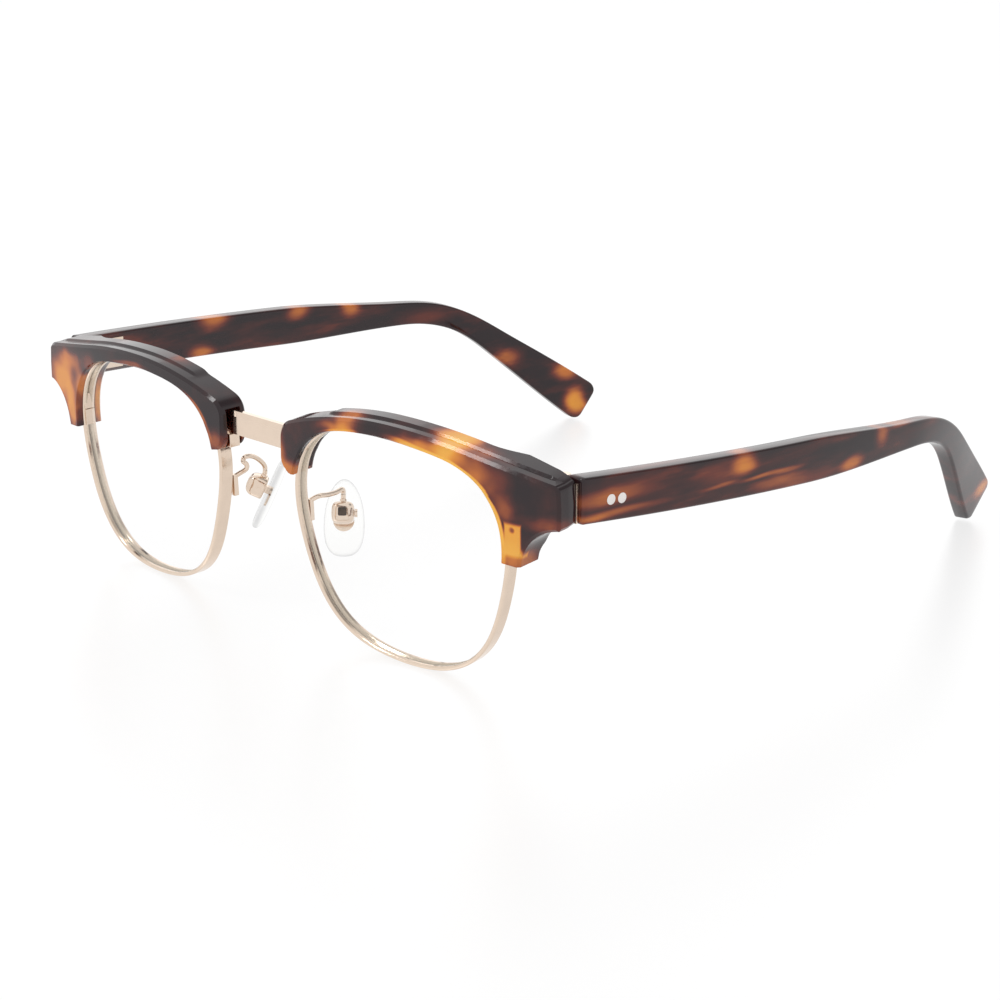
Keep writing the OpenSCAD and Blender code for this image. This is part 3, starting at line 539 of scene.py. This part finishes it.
def brow_rings():
    corner = (lug_top[0] - LUG_CORNER_R, lug_top[1] + LUG_CORNER_R * side_fall)
    corner_c = (lug_top[0] - LUG_CORNER_R, lug_top[1] - LUG_CORNER_R)
    outer = [(LUG_U, (lug_top[1] + LUG_V) / 2), (LUG_U, LUG_V + LUG_EDGE)]
    return ([(edge(NOSE_A, TIP_OUT), NOSE_A)]
            + paired(arc((TIP_R - NOSE_U, TIP_V + TIP_R), TIP_R, 246, 180, 12), 160, 154.5)
            + paired(arc(shoulder_c, SHOULDER_R, 180, shoulder_a, 16), 149.5, 141)
            + paired(arc(nose_c, NOSE_ARC_R, shoulder_a - 0.6, 90, 34), 139.5, 93)
            + paired(arc(side_c, SIDE_ARC_R, 89.4, 90 - SIDE_TURN, 26), 91, 54)
            + paired(line(side_end, corner, 14), 52, 38)
            + paired(arc(corner_c, LUG_CORNER_R, 78, 0, 8), 36.8, 34.5)
            + paired(outer, 33, 31.5)
            + paired(arc(scoop_c, SCOOP_R, 95, 172, 30), 30, 8)
            + [(edge(LEG_A, LEG_W), LEG_A)])


def brow_section(rings, k):
    """One section: over the front lip, across the top, down the back and round the channel."""
    (o, a), last = rings[k], len(rings) - 1
    i, c = edge(a, -LIP_COVER), edge(a, RIM_OUT + CLIP_GAP)
    reach = math.hypot(o[0] - c[0], o[1] - c[1])
    e = ((o[0] - c[0]) / reach, (o[1] - c[1]) / reach)
    p, q = rings[max(k - 1, 0)][0], rings[min(k + 1, last)][0]
    run = math.hypot(q[0] - p[0], q[1] - p[1])
    m = e if k in (0, last) else (-(q[1] - p[1]) / run, (q[0] - p[0]) / run)
    room = min(1.0, reach / FULL_ROOM)
    cut, end = BROW_BEVEL * room, BACK_ROUND * room
    up = (SHELF * ease((o[0] + SHELF_U) / SHELF_RUN) * ease((o[1] - SHELF_V) / SHELF_RUN)
          * ease((LUG_U - SHELF_END - o[0]) / SHELF_RUN))
    back = RIM_D + CLIP_GAP + REAR_LIP
    deep = back + LUG_EXTRA * ease((o[0] - LUG_FROM) / LUG_RUN) * ease((o[1] - LUG_LOW) / LUG_RISE)

    def at(p, d, s, n):
        x, y, z = on_front((p[0] + d[0] * s, p[1] + d[1] * s), n)
        return x, min(y, SEAT_Y) if x > SEAT_X else y, z

    return [at(i, e, 0, LIP_ROUND - FRONT_LIP), at(i, e, LIP_ROUND, -FRONT_LIP),
            at(o, m, -cut, -FRONT_LIP), at(o, m, 0, cut - FRONT_LIP),
            at(o, m, 0, MID_N - SHELF_LOW), at(o, m, up, MID_N - SHELF_TOP),
            at(o, m, up, deep - end), at(o, m, -end, deep),
            at(i, e, LIP_ROUND, back), at(i, e, 0, back - LIP_ROUND),
            at(i, e, 0, RIM_D + CLIP_GAP), at(c, e, 0, RIM_D + CLIP_GAP),
            at(c, e, 0, -CLIP_GAP), at(i, e, 0, -CLIP_GAP)]


def brow_widths(o, a):
    """How far each point of a section lies from the inner edge, in mm."""
    i, c = edge(a, -LIP_COVER), edge(a, RIM_OUT + CLIP_GAP)
    whole = math.hypot(o[0] - i[0], o[1] - i[1])
    wall = math.hypot(c[0] - i[0], c[1] - i[1])
    return ([0, LIP_ROUND, whole - BROW_BEVEL] + [whole] * 4
            + [whole - BACK_ROUND, LIP_ROUND, 0, 0, wall, wall, 0])


def make_brow(side, material):
    rings = brow_rings()
    low = SHOE_V - SHOE_H / 2 - SLOT_UNDER
    n0, n1 = sag(NOSE_U, BRIDGE_V) - SLOT_FRONT, sag(NOSE_U, BRIDGE_V) + SLOT_BACK
    bar_slot = bar(-NOSE_U - BAR_CLEAR, BAR_SEAT - NOSE_U, n0, n1,
                   low, BRIDGE_V + BRIDGE_H + RIDGE_H + SLOT_OVER)
    tenon_slot = bar(-NOSE_U - TENON_CLEAR, SLOT_L - NOSE_U, n0, n1, low, BRIDGE_V + BRIDGE_H - SLOT_OVER)
    shape = loft([brow_section(rings, k) for k in range(len(rings))])
    o = piece("browline_" + WORD[side], shape, side, material, "front", "brow_" + WORD[side],
              sharp=40, shade=[w for ring in rings for w in brow_widths(*ring)],
              cutters=[bar_slot, tenon_slot])
    rounded(o, 0.24, 3, 28)


def brow_patches(side, rows):
    """Patches from rows of place (u, v, n), radii along u, v and n, tone and, at times, kind."""
    return [(place(on_front((u, v), n), side), (ru * MM, rn * MM, rv * MM), tone, *(kind or ["spot"]))
            for u, v, n, ru, rv, rn, tone, *kind in rows]


NEAR = brow_patches(1, [
    (-26.9, 12.5, 0, 1.6, 5.2, 5, 0.60), (-24.2, 9.8, 0, 2.8, 2.0, 4, 0.64),
    (-11.0, 19.6, -1, 5.8, 1.3, 3, 0.66), (-10.3, 21.8, 0, 4.0, 2.3, 4, 0.60),
    (5.0, 20.4, -1, 4.5, 1.6, 3, 0.50), (13.0, 20.6, 0, 3.8, 3.2, 5, 0.93),
    (9.0, 20.2, -1, 4.6, 1.6, 3, 0.48), (12.5, 22.4, 2.4, 4.6, 2.0, 3.5, 0.80),
    (17.8, 18.8, 0, 3.4, 3.6, 4, 0.56), (21.6, 17.0, 0, 3.6, 3.6, 4, 0.42),
    (24.6, 12.4, 0, 2.4, 2.4, 3, 0.44), (26.4, 4.2, 0, 3.2, 2.4, 4, 0.66),
    # the block patch paints the glow of the rim's closing block seen through the acetate
    (26.2, 7.7, -0.9, 1.65, 2.9, 1.7, 0.90, "block"), (25.9, 9.2, -1, 0.42, 0.5, 3, -0.45),
    (32.0, 11.2, 0, 5.0, 1.4, 5, 0.34),
    # edge patches: painted light, amber where light shines through the thin lip along the rim
    (8.0, 20.3, -1, 7.5, 2.5, 3, 0.95, "edge"), (16.0, 19.0, -1, 7.0, 3.0, 3, 1.0, "edge"),
    (21.5, 14.5, -1, 4.6, 6.5, 3, 1.0, "edge"), (23.8, 8.0, -1, 3.0, 6.0, 3, 0.98, "edge"),
    (-11.0, 19.5, -1, 5.5, 1.8, 3, 0.55, "edge")])
FAR = brow_patches(-1, [
    (29.6, 12.0, 0, 5.6, 5.2, 6, 0.80), (25.8, 6.6, 0, 2.8, 4.8, 5, 0.74),
    (21.6, 12.2, 0, 2.6, 3.2, 5, 0.66), (25.0, 16.2, 0, 5.4, 1.8, 5, 0.50),
    (23.2, 3.6, -1, 1.1, 3.4, 2, -0.55), (17.4, 17.4, 0, 2.6, 1.8, 4, 0.40),
    (22.5, 6.5, 4.2, 2.4, 5.5, 2, 0.84), (-8.0, 21.5, 3, 4.0, 1.6, 3, 0.44),
    # the spots at n 2.6 and 2.2 are painted light: they brighten the shaded inside of the nose slot to
    # amber
    (-24.6, 10.8, 0, 2.8, 2.8, 3, 0.52), (-22.5, 14.0, 2.6, 4.0, 3.5, 1.4, 0.66),
    (-25.5, 13.0, 2.2, 3.4, 3.2, 1.8, 0.88),
    # edge patches: painted light, amber where light shines through the thin lip along the rim
    (-20.0, 15.5, -1, 5.5, 5.0, 3, 0.58, "edge"), (2.0, 20.0, -1, 6.0, 2.0, 3, 0.42, "edge")])
make_brow(1, acetate("tortoise_brow_left", NEAR, 97.0, 0.32))
make_brow(-1, acetate("tortoise_brow_right", FAR, 104.0, 0.32))

# Rims and lenses
ANGLES = [i * 360 / STATIONS for i in range(STATIONS)]
GROOVE_HALF = BEVEL + GROOVE_GAP / 2
# The rim's section, out from the bevel line and back, and how much painted shade each of its points takes,
# darkest in the groove
RIM_PROFILE = [(RIM_OUT - RIM_ROUND, 0), (RIM_ROUND - RIM_IN, 0), (-RIM_IN, RIM_ROUND),
               (-RIM_IN, MID_N - GROOVE_HALF), (GROOVE_GAP, MID_N), (-RIM_IN, MID_N + GROOVE_HALF),
               (-RIM_IN, RIM_D - RIM_ROUND), (RIM_ROUND - RIM_IN, RIM_D), (RIM_OUT - RIM_ROUND, RIM_D),
               (RIM_OUT, RIM_D - RIM_ROUND), (RIM_OUT, RIM_ROUND)]
GROOVE_SHADE = [0, 0, 0, 0.02, 0.4, 0.02, 0, 0, 0, 0, 0]
block_u = edge(BLOCK_A, RIM_OUT)[0]
block_n = MID_N + sag(block_u, BLOCK_V)


def make_rim(side):
    wire = loft([[on_front(edge(a, q[0]), q[1]) for q in RIM_PROFILE] for a in ANGLES], loop=True)
    across = (block_u - BLOCK_BACK, block_u + BLOCK_OUT, block_n - BLOCK_D / 2, block_n + BLOCK_D / 2)
    lower = bar(*across, BLOCK_V - BLOCK_H / 2, BLOCK_V - BLOCK_CUT / 2)
    upper = bar(*across, BLOCK_V + BLOCK_CUT / 2, BLOCK_V + BLOCK_H / 2)
    shoe_n = MID_N + sag(NOSE_U, SHOE_V)
    shoe = bar(-NOSE_U - SHOE_OUT, -NOSE_U + SHOE_IN, shoe_n - SHOE_D / 2, shoe_n + SHOE_D / 2,
               SHOE_V - SHOE_H / 2, SHOE_V + SHOE_H / 2)
    verts, faces = merged(wire, lower, upper, shoe)
    shade = GROOVE_SHADE * STATIONS
    shade += [0] * (len(verts) - len(shade))
    o = piece("rim_wire_" + WORD[side], (verts, faces), side, GOLD, "front", "rim_" + WORD[side],
              shade=shade)
    rounded(o, 0.1, 3, 25)


def make_lens(side):
    """Rings from the middle of the front over the bevel to the middle of the back."""
    front, back = MID_N - LENS_T / 2, MID_N + LENS_T / 2
    shares = (0.02, 0.25, 0.5, 0.75, 0.97)
    rings = [(s, -BEVEL, front, 0) for s in shares]
    rings += [(1, -BEVEL, front, 0), (1, -BEVEL, MID_N - BEVEL, 1), (1, 0, MID_N, 1),
              (1, -BEVEL, MID_N + BEVEL, 1), (1, -BEVEL, back, 0)]
    rings += [(s, -BEVEL, back, 0) for s in reversed(shares)]
    made, shade = [], []
    for share, reach, n, dark in rings:
        made.append([on_front(tuple(share * c for c in edge(a, reach)), n) for a in ANGLES])
        shade += [dark] * STATIONS
    piece("lens_" + WORD[side] + "_clear", loft(made), side, LENS, "front", "lens_" + WORD[side],
          sharp=30, shade=shade)


# Nose pads, arms and cups
def bezier(p, t):
    w = ((1 - t) ** 3, 3 * t * (1 - t) ** 2, 3 * t * t * (1 - t), t ** 3)
    return tuple(sum(w[i] * p[i][k] for i in range(4)) for k in range(3))


def add(p, q, s=1.0):
    return tuple(a + s * b for a, b in zip(p, q))


def tube(points, r, n=20):
    turns = [j * 360 / n for j in range(n)]
    rings = []
    for i, p in enumerate(points):
        a, b = points[max(0, i - 1)], points[min(len(points) - 1, i + 1)]
        d = Vector(b) - Vector(a)
        d.normalize()
        x = d.cross(Vector((0, 0, 1))) + Vector((0.001, 0, 0))
        x.normalize()
        y = x.cross(d)
        rings.append([tuple(Vector(p) + r * (cos(t) * x + sin(t) * y)) for t in turns])
    return loft(rings)


def curve(p, n):
    """A smooth curve through points, with n steps between each two."""
    points = []
    for i in range(len(p) - 1):
        a, b, c, d = p[max(0, i - 1)], p[i], p[i + 1], p[min(len(p) - 1, i + 2)]
        ends = [b, add(b, add(c, a, -1), 1 / 6), add(c, add(d, b, -1), -1 / 6), c]
        points += [bezier(ends, k / n) for k in range(n)]
    return points + [p[-1]]


# The two arms are bent by hand, so each has its own bends: across, back and up from the foot's top
BENDS = {1: [(0.4, 0.6, 0.5), (0.9, 1.6, 0.85), (1.0, 3.2, 0.7), (0.9, 5.2, 0.65), (0.6, 6.9, 0.8)],
         -1: [(-0.4, 1.06, 0.57), (-0.8, 2.15, 1.2), (-0.95, 2.15, 2.05), (-0.9, 1.4, 2.85),
              (-0.9, 1.8, 3.5), (-0.8, 2.9, 3.5), (-0.5, 4.4, 2.95), (-0.1, 6.1, 1.8)]}
foot_u = edge(FOOT_A, 0)[0]
foot_n = RIM_D + sag(foot_u, FOOT_V) + FOOT_GAP


def make_arm(side):
    start = raised(foot_u, foot_n + ARM_R, FOOT_V + FOOT_H / 2 - ARM_R)
    finish = from_pad((0, 0, CUP_W / 2 + NECK + PLAY))
    above = add(finish, (0, 0, ARM_DROP))
    wire = tube(curve([start] + [add(start, b) for b in BENDS[side]] + [above, finish], 12), ARM_R)
    foot = bar(foot_u - FOOT_W / 2, foot_u + FOOT_W / 2, foot_n, foot_n + FOOT_W,
               FOOT_V - FOOT_H / 2, FOOT_V + FOOT_H / 2)
    o = piece("pad_wire_" + WORD[side], merged(wire, foot), side, GOLD, "front",
              "pad_arm_" + WORD[side])
    rounded(o, 0.3, 4, 45)


def cup_ring(r, y, power):
    """A ring of half width r that a larger power makes squarer, y back from the pad's screw."""
    ring = []
    for i in range(CUP_N):
        a = (i + 0.5) * 360 / CUP_N
        k = r / (abs(cos(a)) ** power + abs(sin(a)) ** power) ** (1 / power)
        ring.append(from_pad((k * cos(a), y, k * sin(a))))
    return ring


def make_cup(side):
    """A rounded cup with a domed front and a square window, on a short neck."""
    half, back = CUP_W / 2 - CUP_INSET, CUP_D / 2 - 0.1
    rings = [cup_ring(half * 0.9, back, CUP_BOXY), cup_ring(half * 0.97, back - 0.1, CUP_BOXY)]
    rings += [cup_ring(half, y, CUP_BOXY) for y in (back - 0.3, 0.2, -DOME_AT)]
    for i in range(1, DOME_STEPS + 1):
        t = DOME_TURN * i / DOME_STEPS
        y = -DOME_AT + (CUP_FRONT + DOME_AT) * sin(t) / sin(DOME_TURN)
        rings.append(cup_ring(half * cos(t) ** DOME_POWER, y, CUP_BOXY + DOME_BOXY * i / DOME_STEPS))
    rings += [cup_ring(WINDOW + 0.06, CUP_FRONT - 0.02, 7), cup_ring(WINDOW, CUP_FRONT + 0.06, 8),
              cup_ring(WINDOW, -0.8, 8)]
    # painted shade: the window's walls and inner end are darkened, for the shade inside the hollow cup
    shade = [0] * (CUP_N * (len(rings) - 2)) + [0.25] * CUP_N + [1] * CUP_N + [0] * (2 * NECK_N)
    neck = [[from_pad((NECK_R * cos(i * 360 / NECK_N), NECK_R * sin(i * 360 / NECK_N), z))
             for i in range(NECK_N)] for z in (CUP_W / 2 - 0.5, CUP_W / 2 + NECK)]
    o = piece("pad_cup_" + WORD[side], merged(loft(rings), loft(neck)), side, GOLD, "front",
              "pad_box_" + WORD[side], sharp=50, shade=shade)
    rounded(o, 0.07, 2, 50)


# The pad's rings from its flat front to its rounded face: shares of its outline and of its thickness
PAD_RINGS = [(0.04, 0.03), (0.45, 0.03), (0.80, 0.02), (0.90, 0.0), (0.955, 0.06), (0.985, 0.17),
             (1.0, 0.32), (1.0, 0.48), (0.975, 0.62), (0.93, 0.74), (0.86, 0.84), (0.74, 0.92),
             (0.58, 0.96), (0.40, 0.985), (0.2, 0.998), (0.04, 1.0)]


def make_pad(side):
    rings, shade = [], []
    for share, t in PAD_RINGS:
        ring = []
        for i in range(PAD_N):
            a = -i * 360 / PAD_N
            c, s = cos(a), sin(a)
            k = share * (1 + PAD_SQUARE * (c * s) ** 2 if s < 0 else 1)
            ring.append(from_pad((
                k * PAD_W / 2 * c * (1 - PAD_TAPER * s) * (1 if c > 0 else 1 - PAD_FLAT),
                CUP_D / 2 + PAD_GAP + t * PAD_T,
                PAD_DROP + k * PAD_H / 2 * s)))
        rings.append(ring)
        # painted shade: the outermost rings take the grey edge colour as an outline
        shade += [1.0 if share >= 0.985 else 0.35 if share > 0.95 else 0.0] * PAD_N
    piece("pad_silicone_" + WORD[side], loft(rings), side, SILICONE, WORD[side] + "_pad",
          "nose_pad_" + WORD[side], sharp=60, shade=shade)


for side in WORD:
    make_rim(side)
    make_lens(side)
    make_arm(side)
    make_cup(side)
    make_pad(side)

# Temples
STEP = TEMPLE_L / PATH_N


def half_h(s):
    return (TEMPLE_H - (TEMPLE_H - NECK_H) * ease((s - THIN_AT) / THIN_L)
            + (TIP_H - NECK_H) * ease((s - WIDEN_AT) / WIDEN_L)) / 2


def sweep(s, k):
    """How steeply the temple falls at s along it, if it starts at k."""
    return k + BEND * ease((s - BEND_AT) / BEND_L)


def tip_z(k):
    drop = sum(STEP * sin(sweep(i * STEP, k)) for i in range(PATH_N))
    return (HINGE_Z + TEMPLE_RISE - drop + (TEMPLE_L - TIP_S) * sin(k + BEND)
            - (half_h(TIP_S) - TIP_SHRINK) * cos(k + BEND))


# The start's slope that brings the tip down to the floor
slope = 3.0
for _ in range(4):
    slope = slope + 10 * tip_z(slope) / (tip_z(slope) - tip_z(slope + 10))


def bow(s):
    return BOW_OUT * (1 - ((s - BOW_AT) / BOW_AT) ** 2) - TIP_IN * ease((s - DRAW_AT) / DRAW_L)


def bow_turn(s):
    return math.degrees(math.atan((bow(s + 1) - bow(s - 1)) / 2))


path_y, path_z = [TEMPLE_Y], [HINGE_Z + TEMPLE_RISE]
for i in range(PATH_N):
    path_y.append(path_y[-1] + STEP * cos(sweep(i * STEP, slope)))
    path_z.append(path_z[-1] - STEP * sin(sweep(i * STEP, slope)))


def temple_path(s):
    i = min(PATH_N - 1, int(s / STEP))
    t = s / STEP - i
    return (TEMPLE_X + TEMPLE_T / 2 + bow(s), path_y[i] + t * (path_y[i + 1] - path_y[i]),
            path_z[i] + t * (path_z[i + 1] - path_z[i]))


def temple_ring(s, shrink, shift, trim=0.0):
    """The temple's section at s: shrink comes off every side and trim only off top and bottom, and
    shift slants it, the top toward the tip."""
    p, h = temple_path(s), half_h(s) - shrink - trim
    t = (TEMPLE_T - (TEMPLE_T - TIP_T) * s / TEMPLE_L) / 2 - shrink - HAIR
    r = min(CORNER, t * 0.6)
    k = sweep(s, slope)
    up, along = (0, sin(k), cos(k)), (0, cos(k), -sin(k))
    lean = bow_turn(s)
    turn = (cos(lean), -sin(lean) * cos(k), 0)
    ring = []
    for cx, cz, a0 in ((t - r, h - r, 0), (r - t, h - r, 90), (r - t, r - h, 180), (t - r, r - h, 270)):
        for j in range(6):
            a = a0 + 18 * j
            q = (cx + r * cos(a), cz + r * sin(a))
            lift = shift * (q[1] / TIP_H + 0.5)
            ring.append(tuple(p[m] + q[0] * turn[m] + q[1] * up[m] + lift * along[m] for m in range(3)))
    return ring


def make_temple(side, material):
    rings = [[(x, TEMPLE_Y + back, z) for x, y, z in temple_ring(0.4, shrink, 0)]
             for shrink, back in ((0.5, 0), (0.3, 0.04), (0.12, 0.15), (0, 0.4))]
    for i in range(SWEEP_N + 1):
        s = 1 + i * (TEMPLE_L - SWEEP_END) / SWEEP_N
        rings.append(temple_ring(s, 0, SLANT * ease((s - SLANT_AT) / SLANT_L)))
    # the tip is rounded in side view by TIP_ROUND, and its edges by a little
    for i in range(TIP_N + 1):
        a = 90 * i / TIP_N
        back = TIP_BACK - TIP_ROUND * (1 - sin(a))
        rings.append(temple_ring(TIP_S + back, TIP_SOFT * ease((a - 45) / 45), SLANT,
                                 TIP_ROUND * (1 - cos(a))))
    piece("temple_acetate_" + WORD[side], loft(rings), side, material, WORD[side] + "_temple",
          "temple_" + WORD[side], sharp=50)


def temple_patches(side, rows):
    """Patches through the temple from rows of place, s along it and up across its height, radii along
    and across, and tone."""
    patches = []
    for s, up, rs, ru, tone in rows:
        p, k = temple_path(s), sweep(s, slope)
        centre = place((p[0], p[1] + up * sin(k), p[2] + up * cos(k)), side)
        patches.append((centre, (4 * MM, rs * MM, ru * MM), tone, "spot"))
    return patches


T_NEAR = temple_patches(1, [
    (8, 0.6, 13, 1.5, 0.46), (9, -2.4, 13, 0.8, 0.48), (11, 0, 13, 4, 0.24), (30, 1.4, 7, 1.2, 0.34),
    (32, -0.6, 5, 0.5, 0.42), (37.4, 2.4, 3.4, 2.0, 0.64), (42.5, -0.4, 6.5, 0.5, 0.52),
    (47, -2.4, 8, 1.6, 0.38), (49.5, -0.4, 5, 0.5, 0.46), (57, -3, 9, 1.3, 0.36),
    (68.3, -2.3, 3.8, 1.6, 0.58), (77.6, 1.6, 2.5, 2.6, 0.56), (85, 2.3, 6, 0.7, 0.50),
    (140.5, 2.2, 4.0, 2.6, 0.80)])
T_FAR = temple_patches(-1, [
    (13, 0.9, 5, 2.4, 0.32), (36, 3.1, 4.8, 2.0, 0.64), (32.4, -2.6, 4.2, 1.9, 0.64),
    (60, 2.7, 3.8, 1.9, 0.62), (74.5, 2.4, 3.2, 1.9, 0.62), (97, 0, 9, 2.2, 0.34),
    (120, -1.4, 4.2, 2.2, 0.58), (134.7, 3.7, 4, 2.2, 0.66), (140.6, -1.6, 3.4, 3.4, 0.84)])
STREAKS = 0.16
make_temple(1, acetate("tortoise_temple_left", T_NEAR, 281.0, 0.37, STREAKS))
make_temple(-1, acetate("tortoise_temple_right", T_FAR, 288.0, 0.37, STREAKS))

# Rivets: through the leaf and the temple, with domed heads
HINGE_X = TEMPLE_X - BARREL_R - BARREL_SIDE
HINGE_Y = SEAT_Y + LEAF_T + BARREL_R + BARREL_GAP
SPLAY = bow_turn(RIVET_AT)


def on_plate(x, y, z):
    """A place in the temple leaf's coordinates: out through the temple, back along it and up."""
    y, z = y * cos(slope) + z * sin(slope), z * cos(slope) - y * sin(slope)
    x, z = x + BARREL_R - LEAF_IN, z + LEAF_RISE
    return HINGE_X + x * cos(SPLAY) + y * sin(SPLAY), HINGE_Y + y * cos(SPLAY) - x * sin(SPLAY), HINGE_Z + z


def rivet(y):
    """One rivet; its head lies on the temple's outer face, which is found in a few steps."""
    face = TEMPLE_T
    for _ in range(6):
        q = on_plate(face, y, -RIVET_LOW)
        face += TEMPLE_X + TEMPLE_T + bow(q[1] - TEMPLE_Y) - q[0]
    profile = [(RIVET_IN, 0.6), (RIVET_IN, RIVET_R - 0.08), (0.12, RIVET_R), (face - 0.3, RIVET_R),
               (face + 0.01, RIVET_R), (face + 0.05, RIVET_R - 0.06), (face + 0.09, 0.62),
               (face + 0.115, 0.32), (face + 0.12, 0.04)]
    turns = [i * 360 / RIVET_N for i in range(RIVET_N)]
    return loft([[on_plate(x, y + r * cos(a), -RIVET_LOW + r * sin(a)) for a in turns] for x, r in profile])


def make_rivets(side):
    parts = [rivet(RIVET_AT - HINGE_Y + TEMPLE_Y + i * RIVET_GAP) for i in (0, 1)]
    piece("rivet_heads_" + WORD[side], merged(*parts), side, BRIGHT, WORD[side] + "_temple",
          "rivets_" + WORD[side], sharp=50)


for side in WORD:
    make_rivets(side)

# CAD nodes that stay, with the radius of their edges
ROUNDED = {"bridge": 0.12, "front_leaf": 0.06, "temple_leaf": 0.1, "rim_screw": 0.06, "pad_screw": 0.06,
           "hinge_screw": 0.08, "pad_insert": 0.04, "core_wire": 0.1}
for name, o in nodes.items():
    stem = name.replace("_left", "").replace("_right", "")
    if o.hide_render or stem not in ROUNDED:
        continue
    for s in o.material_slots:
        s.link = "OBJECT"
        s.material = STEEL if stem == "core_wire" else GOLD
    rounded(o, ROUNDED[stem], 2, 40)

# Floor and world
FLOOR_HALF, FLOOR_COLOUR, FLOOR_ROUGH = 6.0, (0.9, 0.9, 0.9, 1), 0.36
FLOOR_WHITE, FLOOR_GLOSS = 0.94, 0.17
WHITE = (1, 1, 1, 1)
WORLD_LIGHT = 0.9
# Polished metal also sees the dark part of the studio's ceiling, behind the object
DARK_WAY, DARK_FROM, DARK_TO, DARKNESS = (0.28, 0.68, 0.68), 0.88, 0.97, 0.6


def make_floor():
    """White and a little glossy: it shows as white, with soft reflections and a faint shadow."""
    r = FLOOR_HALF
    me = bpy.data.meshes.new("floor")
    me.from_pydata([(-r, -r, 0), (r, -r, 0), (r, r, 0), (-r, r, 0)], [], [(0, 1, 2, 3)])
    o = bpy.data.objects.new("floor", me)
    bpy.context.scene.collection.objects.link(o)
    m, nt, out = new_material("studio_white")
    matte = node(nt, "ShaderNodeBsdfDiffuse")
    matte.inputs["Color"].default_value = FLOOR_COLOUR
    shine = node(nt, "ShaderNodeBsdfGlossy")
    shine.inputs["Color"].default_value = WHITE
    shine.inputs["Roughness"].default_value = FLOOR_ROUGH
    white = node(nt, "ShaderNodeEmission")
    white.inputs["Strength"].default_value = 1.0
    shown = maths(nt, "MULTIPLY", seen(nt, node(nt, "ShaderNodeLightPath")), FLOOR_WHITE)
    gloss = mixed(nt, FLOOR_GLOSS, mixed(nt, shown, matte, white), shine)
    nt.links.new(gloss.outputs[0], out.inputs[0])
    me.materials.append(m)


def make_world():
    """White to look at, and a little darker as a light."""
    world = bpy.data.worlds.new("studio")
    bpy.context.scene.world = world
    world.use_nodes = True
    nt = world.node_tree
    nt.nodes.clear()
    out = node(nt, "ShaderNodeOutputWorld")
    light, shown = node(nt, "ShaderNodeBackground"), node(nt, "ShaderNodeBackground")
    for background in (light, shown):
        background.inputs["Color"].default_value = WHITE
    light.inputs["Strength"].default_value = WORLD_LIGHT
    path = node(nt, "ShaderNodeLightPath")
    way = node(nt, "ShaderNodeTexCoord").outputs["Generated"]
    dark = remap(nt, vector_maths(nt, "DOT_PRODUCT", way, DARK_WAY), DARK_FROM, DARK_TO, 0.0, DARKNESS)
    dark = maths(nt, "MULTIPLY", dark, path.outputs["Is Glossy Ray"])
    nt.links.new(maths(nt, "SUBTRACT", 1.0, dark), shown.inputs["Strength"])
    nt.links.new(mixed(nt, seen(nt, path), light, shown).outputs[0], out.inputs[0])


def lamp(name, at, size, power):
    """A rectangular lamp that points at the glasses."""
    data = bpy.data.lights.new(name, "AREA")
    data.shape = "RECTANGLE"
    data.size, data.size_y = size
    data.energy = power
    o = bpy.data.objects.new(name, data)
    o.location = at
    o.rotation_euler = (Vector((0, 0, 0.02)) - Vector(at)).to_track_quat("-Z", "Y").to_euler()
    bpy.context.scene.collection.objects.link(o)


make_floor()
make_world()
lamp("key", (-0.295, -0.477, 0.855), (0.18, 0.52), 2.6)
lamp("backdrop", (-0.86, 0.87, 0.38), (1.6, 0.45), 0.9)

# Camera, fitted to the photograph's edges: degrees, metres, and the focal length in millimetres
AZIMUTH, ELEVATION, ROLL, FOCAL = 44.633, 17.239, 0.322, 88.85
DISTANCE, PAN_X, PAN_Y = 0.471162, -0.014352, 0.005969
target = Vector((0, 0.040 - SHIFT_Y * MM, 0.020))
look = Vector((-sin(AZIMUTH) * cos(ELEVATION), cos(AZIMUTH) * cos(ELEVATION), -sin(ELEVATION)))
right = Vector((cos(AZIMUTH), sin(AZIMUTH), 0))
top = right.cross(look)
right, top = (cos(ROLL) * right + sin(ROLL) * top, -sin(ROLL) * right + cos(ROLL) * top)
data = bpy.data.cameras.new("camera")
data.lens, data.sensor_width, data.sensor_fit = FOCAL, 36.0, "HORIZONTAL"
data.clip_start, data.clip_end = 0.01, 30.0
camera = bpy.data.objects.new("camera", data)
bpy.context.scene.collection.objects.link(camera)
spin = Matrix((right, top, -look)).transposed().to_4x4()
camera.matrix_world = Matrix.Translation(target - DISTANCE * look - PAN_X * right - PAN_Y * top) @ spin
bpy.context.scene.camera = camera
bpy.context.scene.view_settings.view_transform = "Standard"
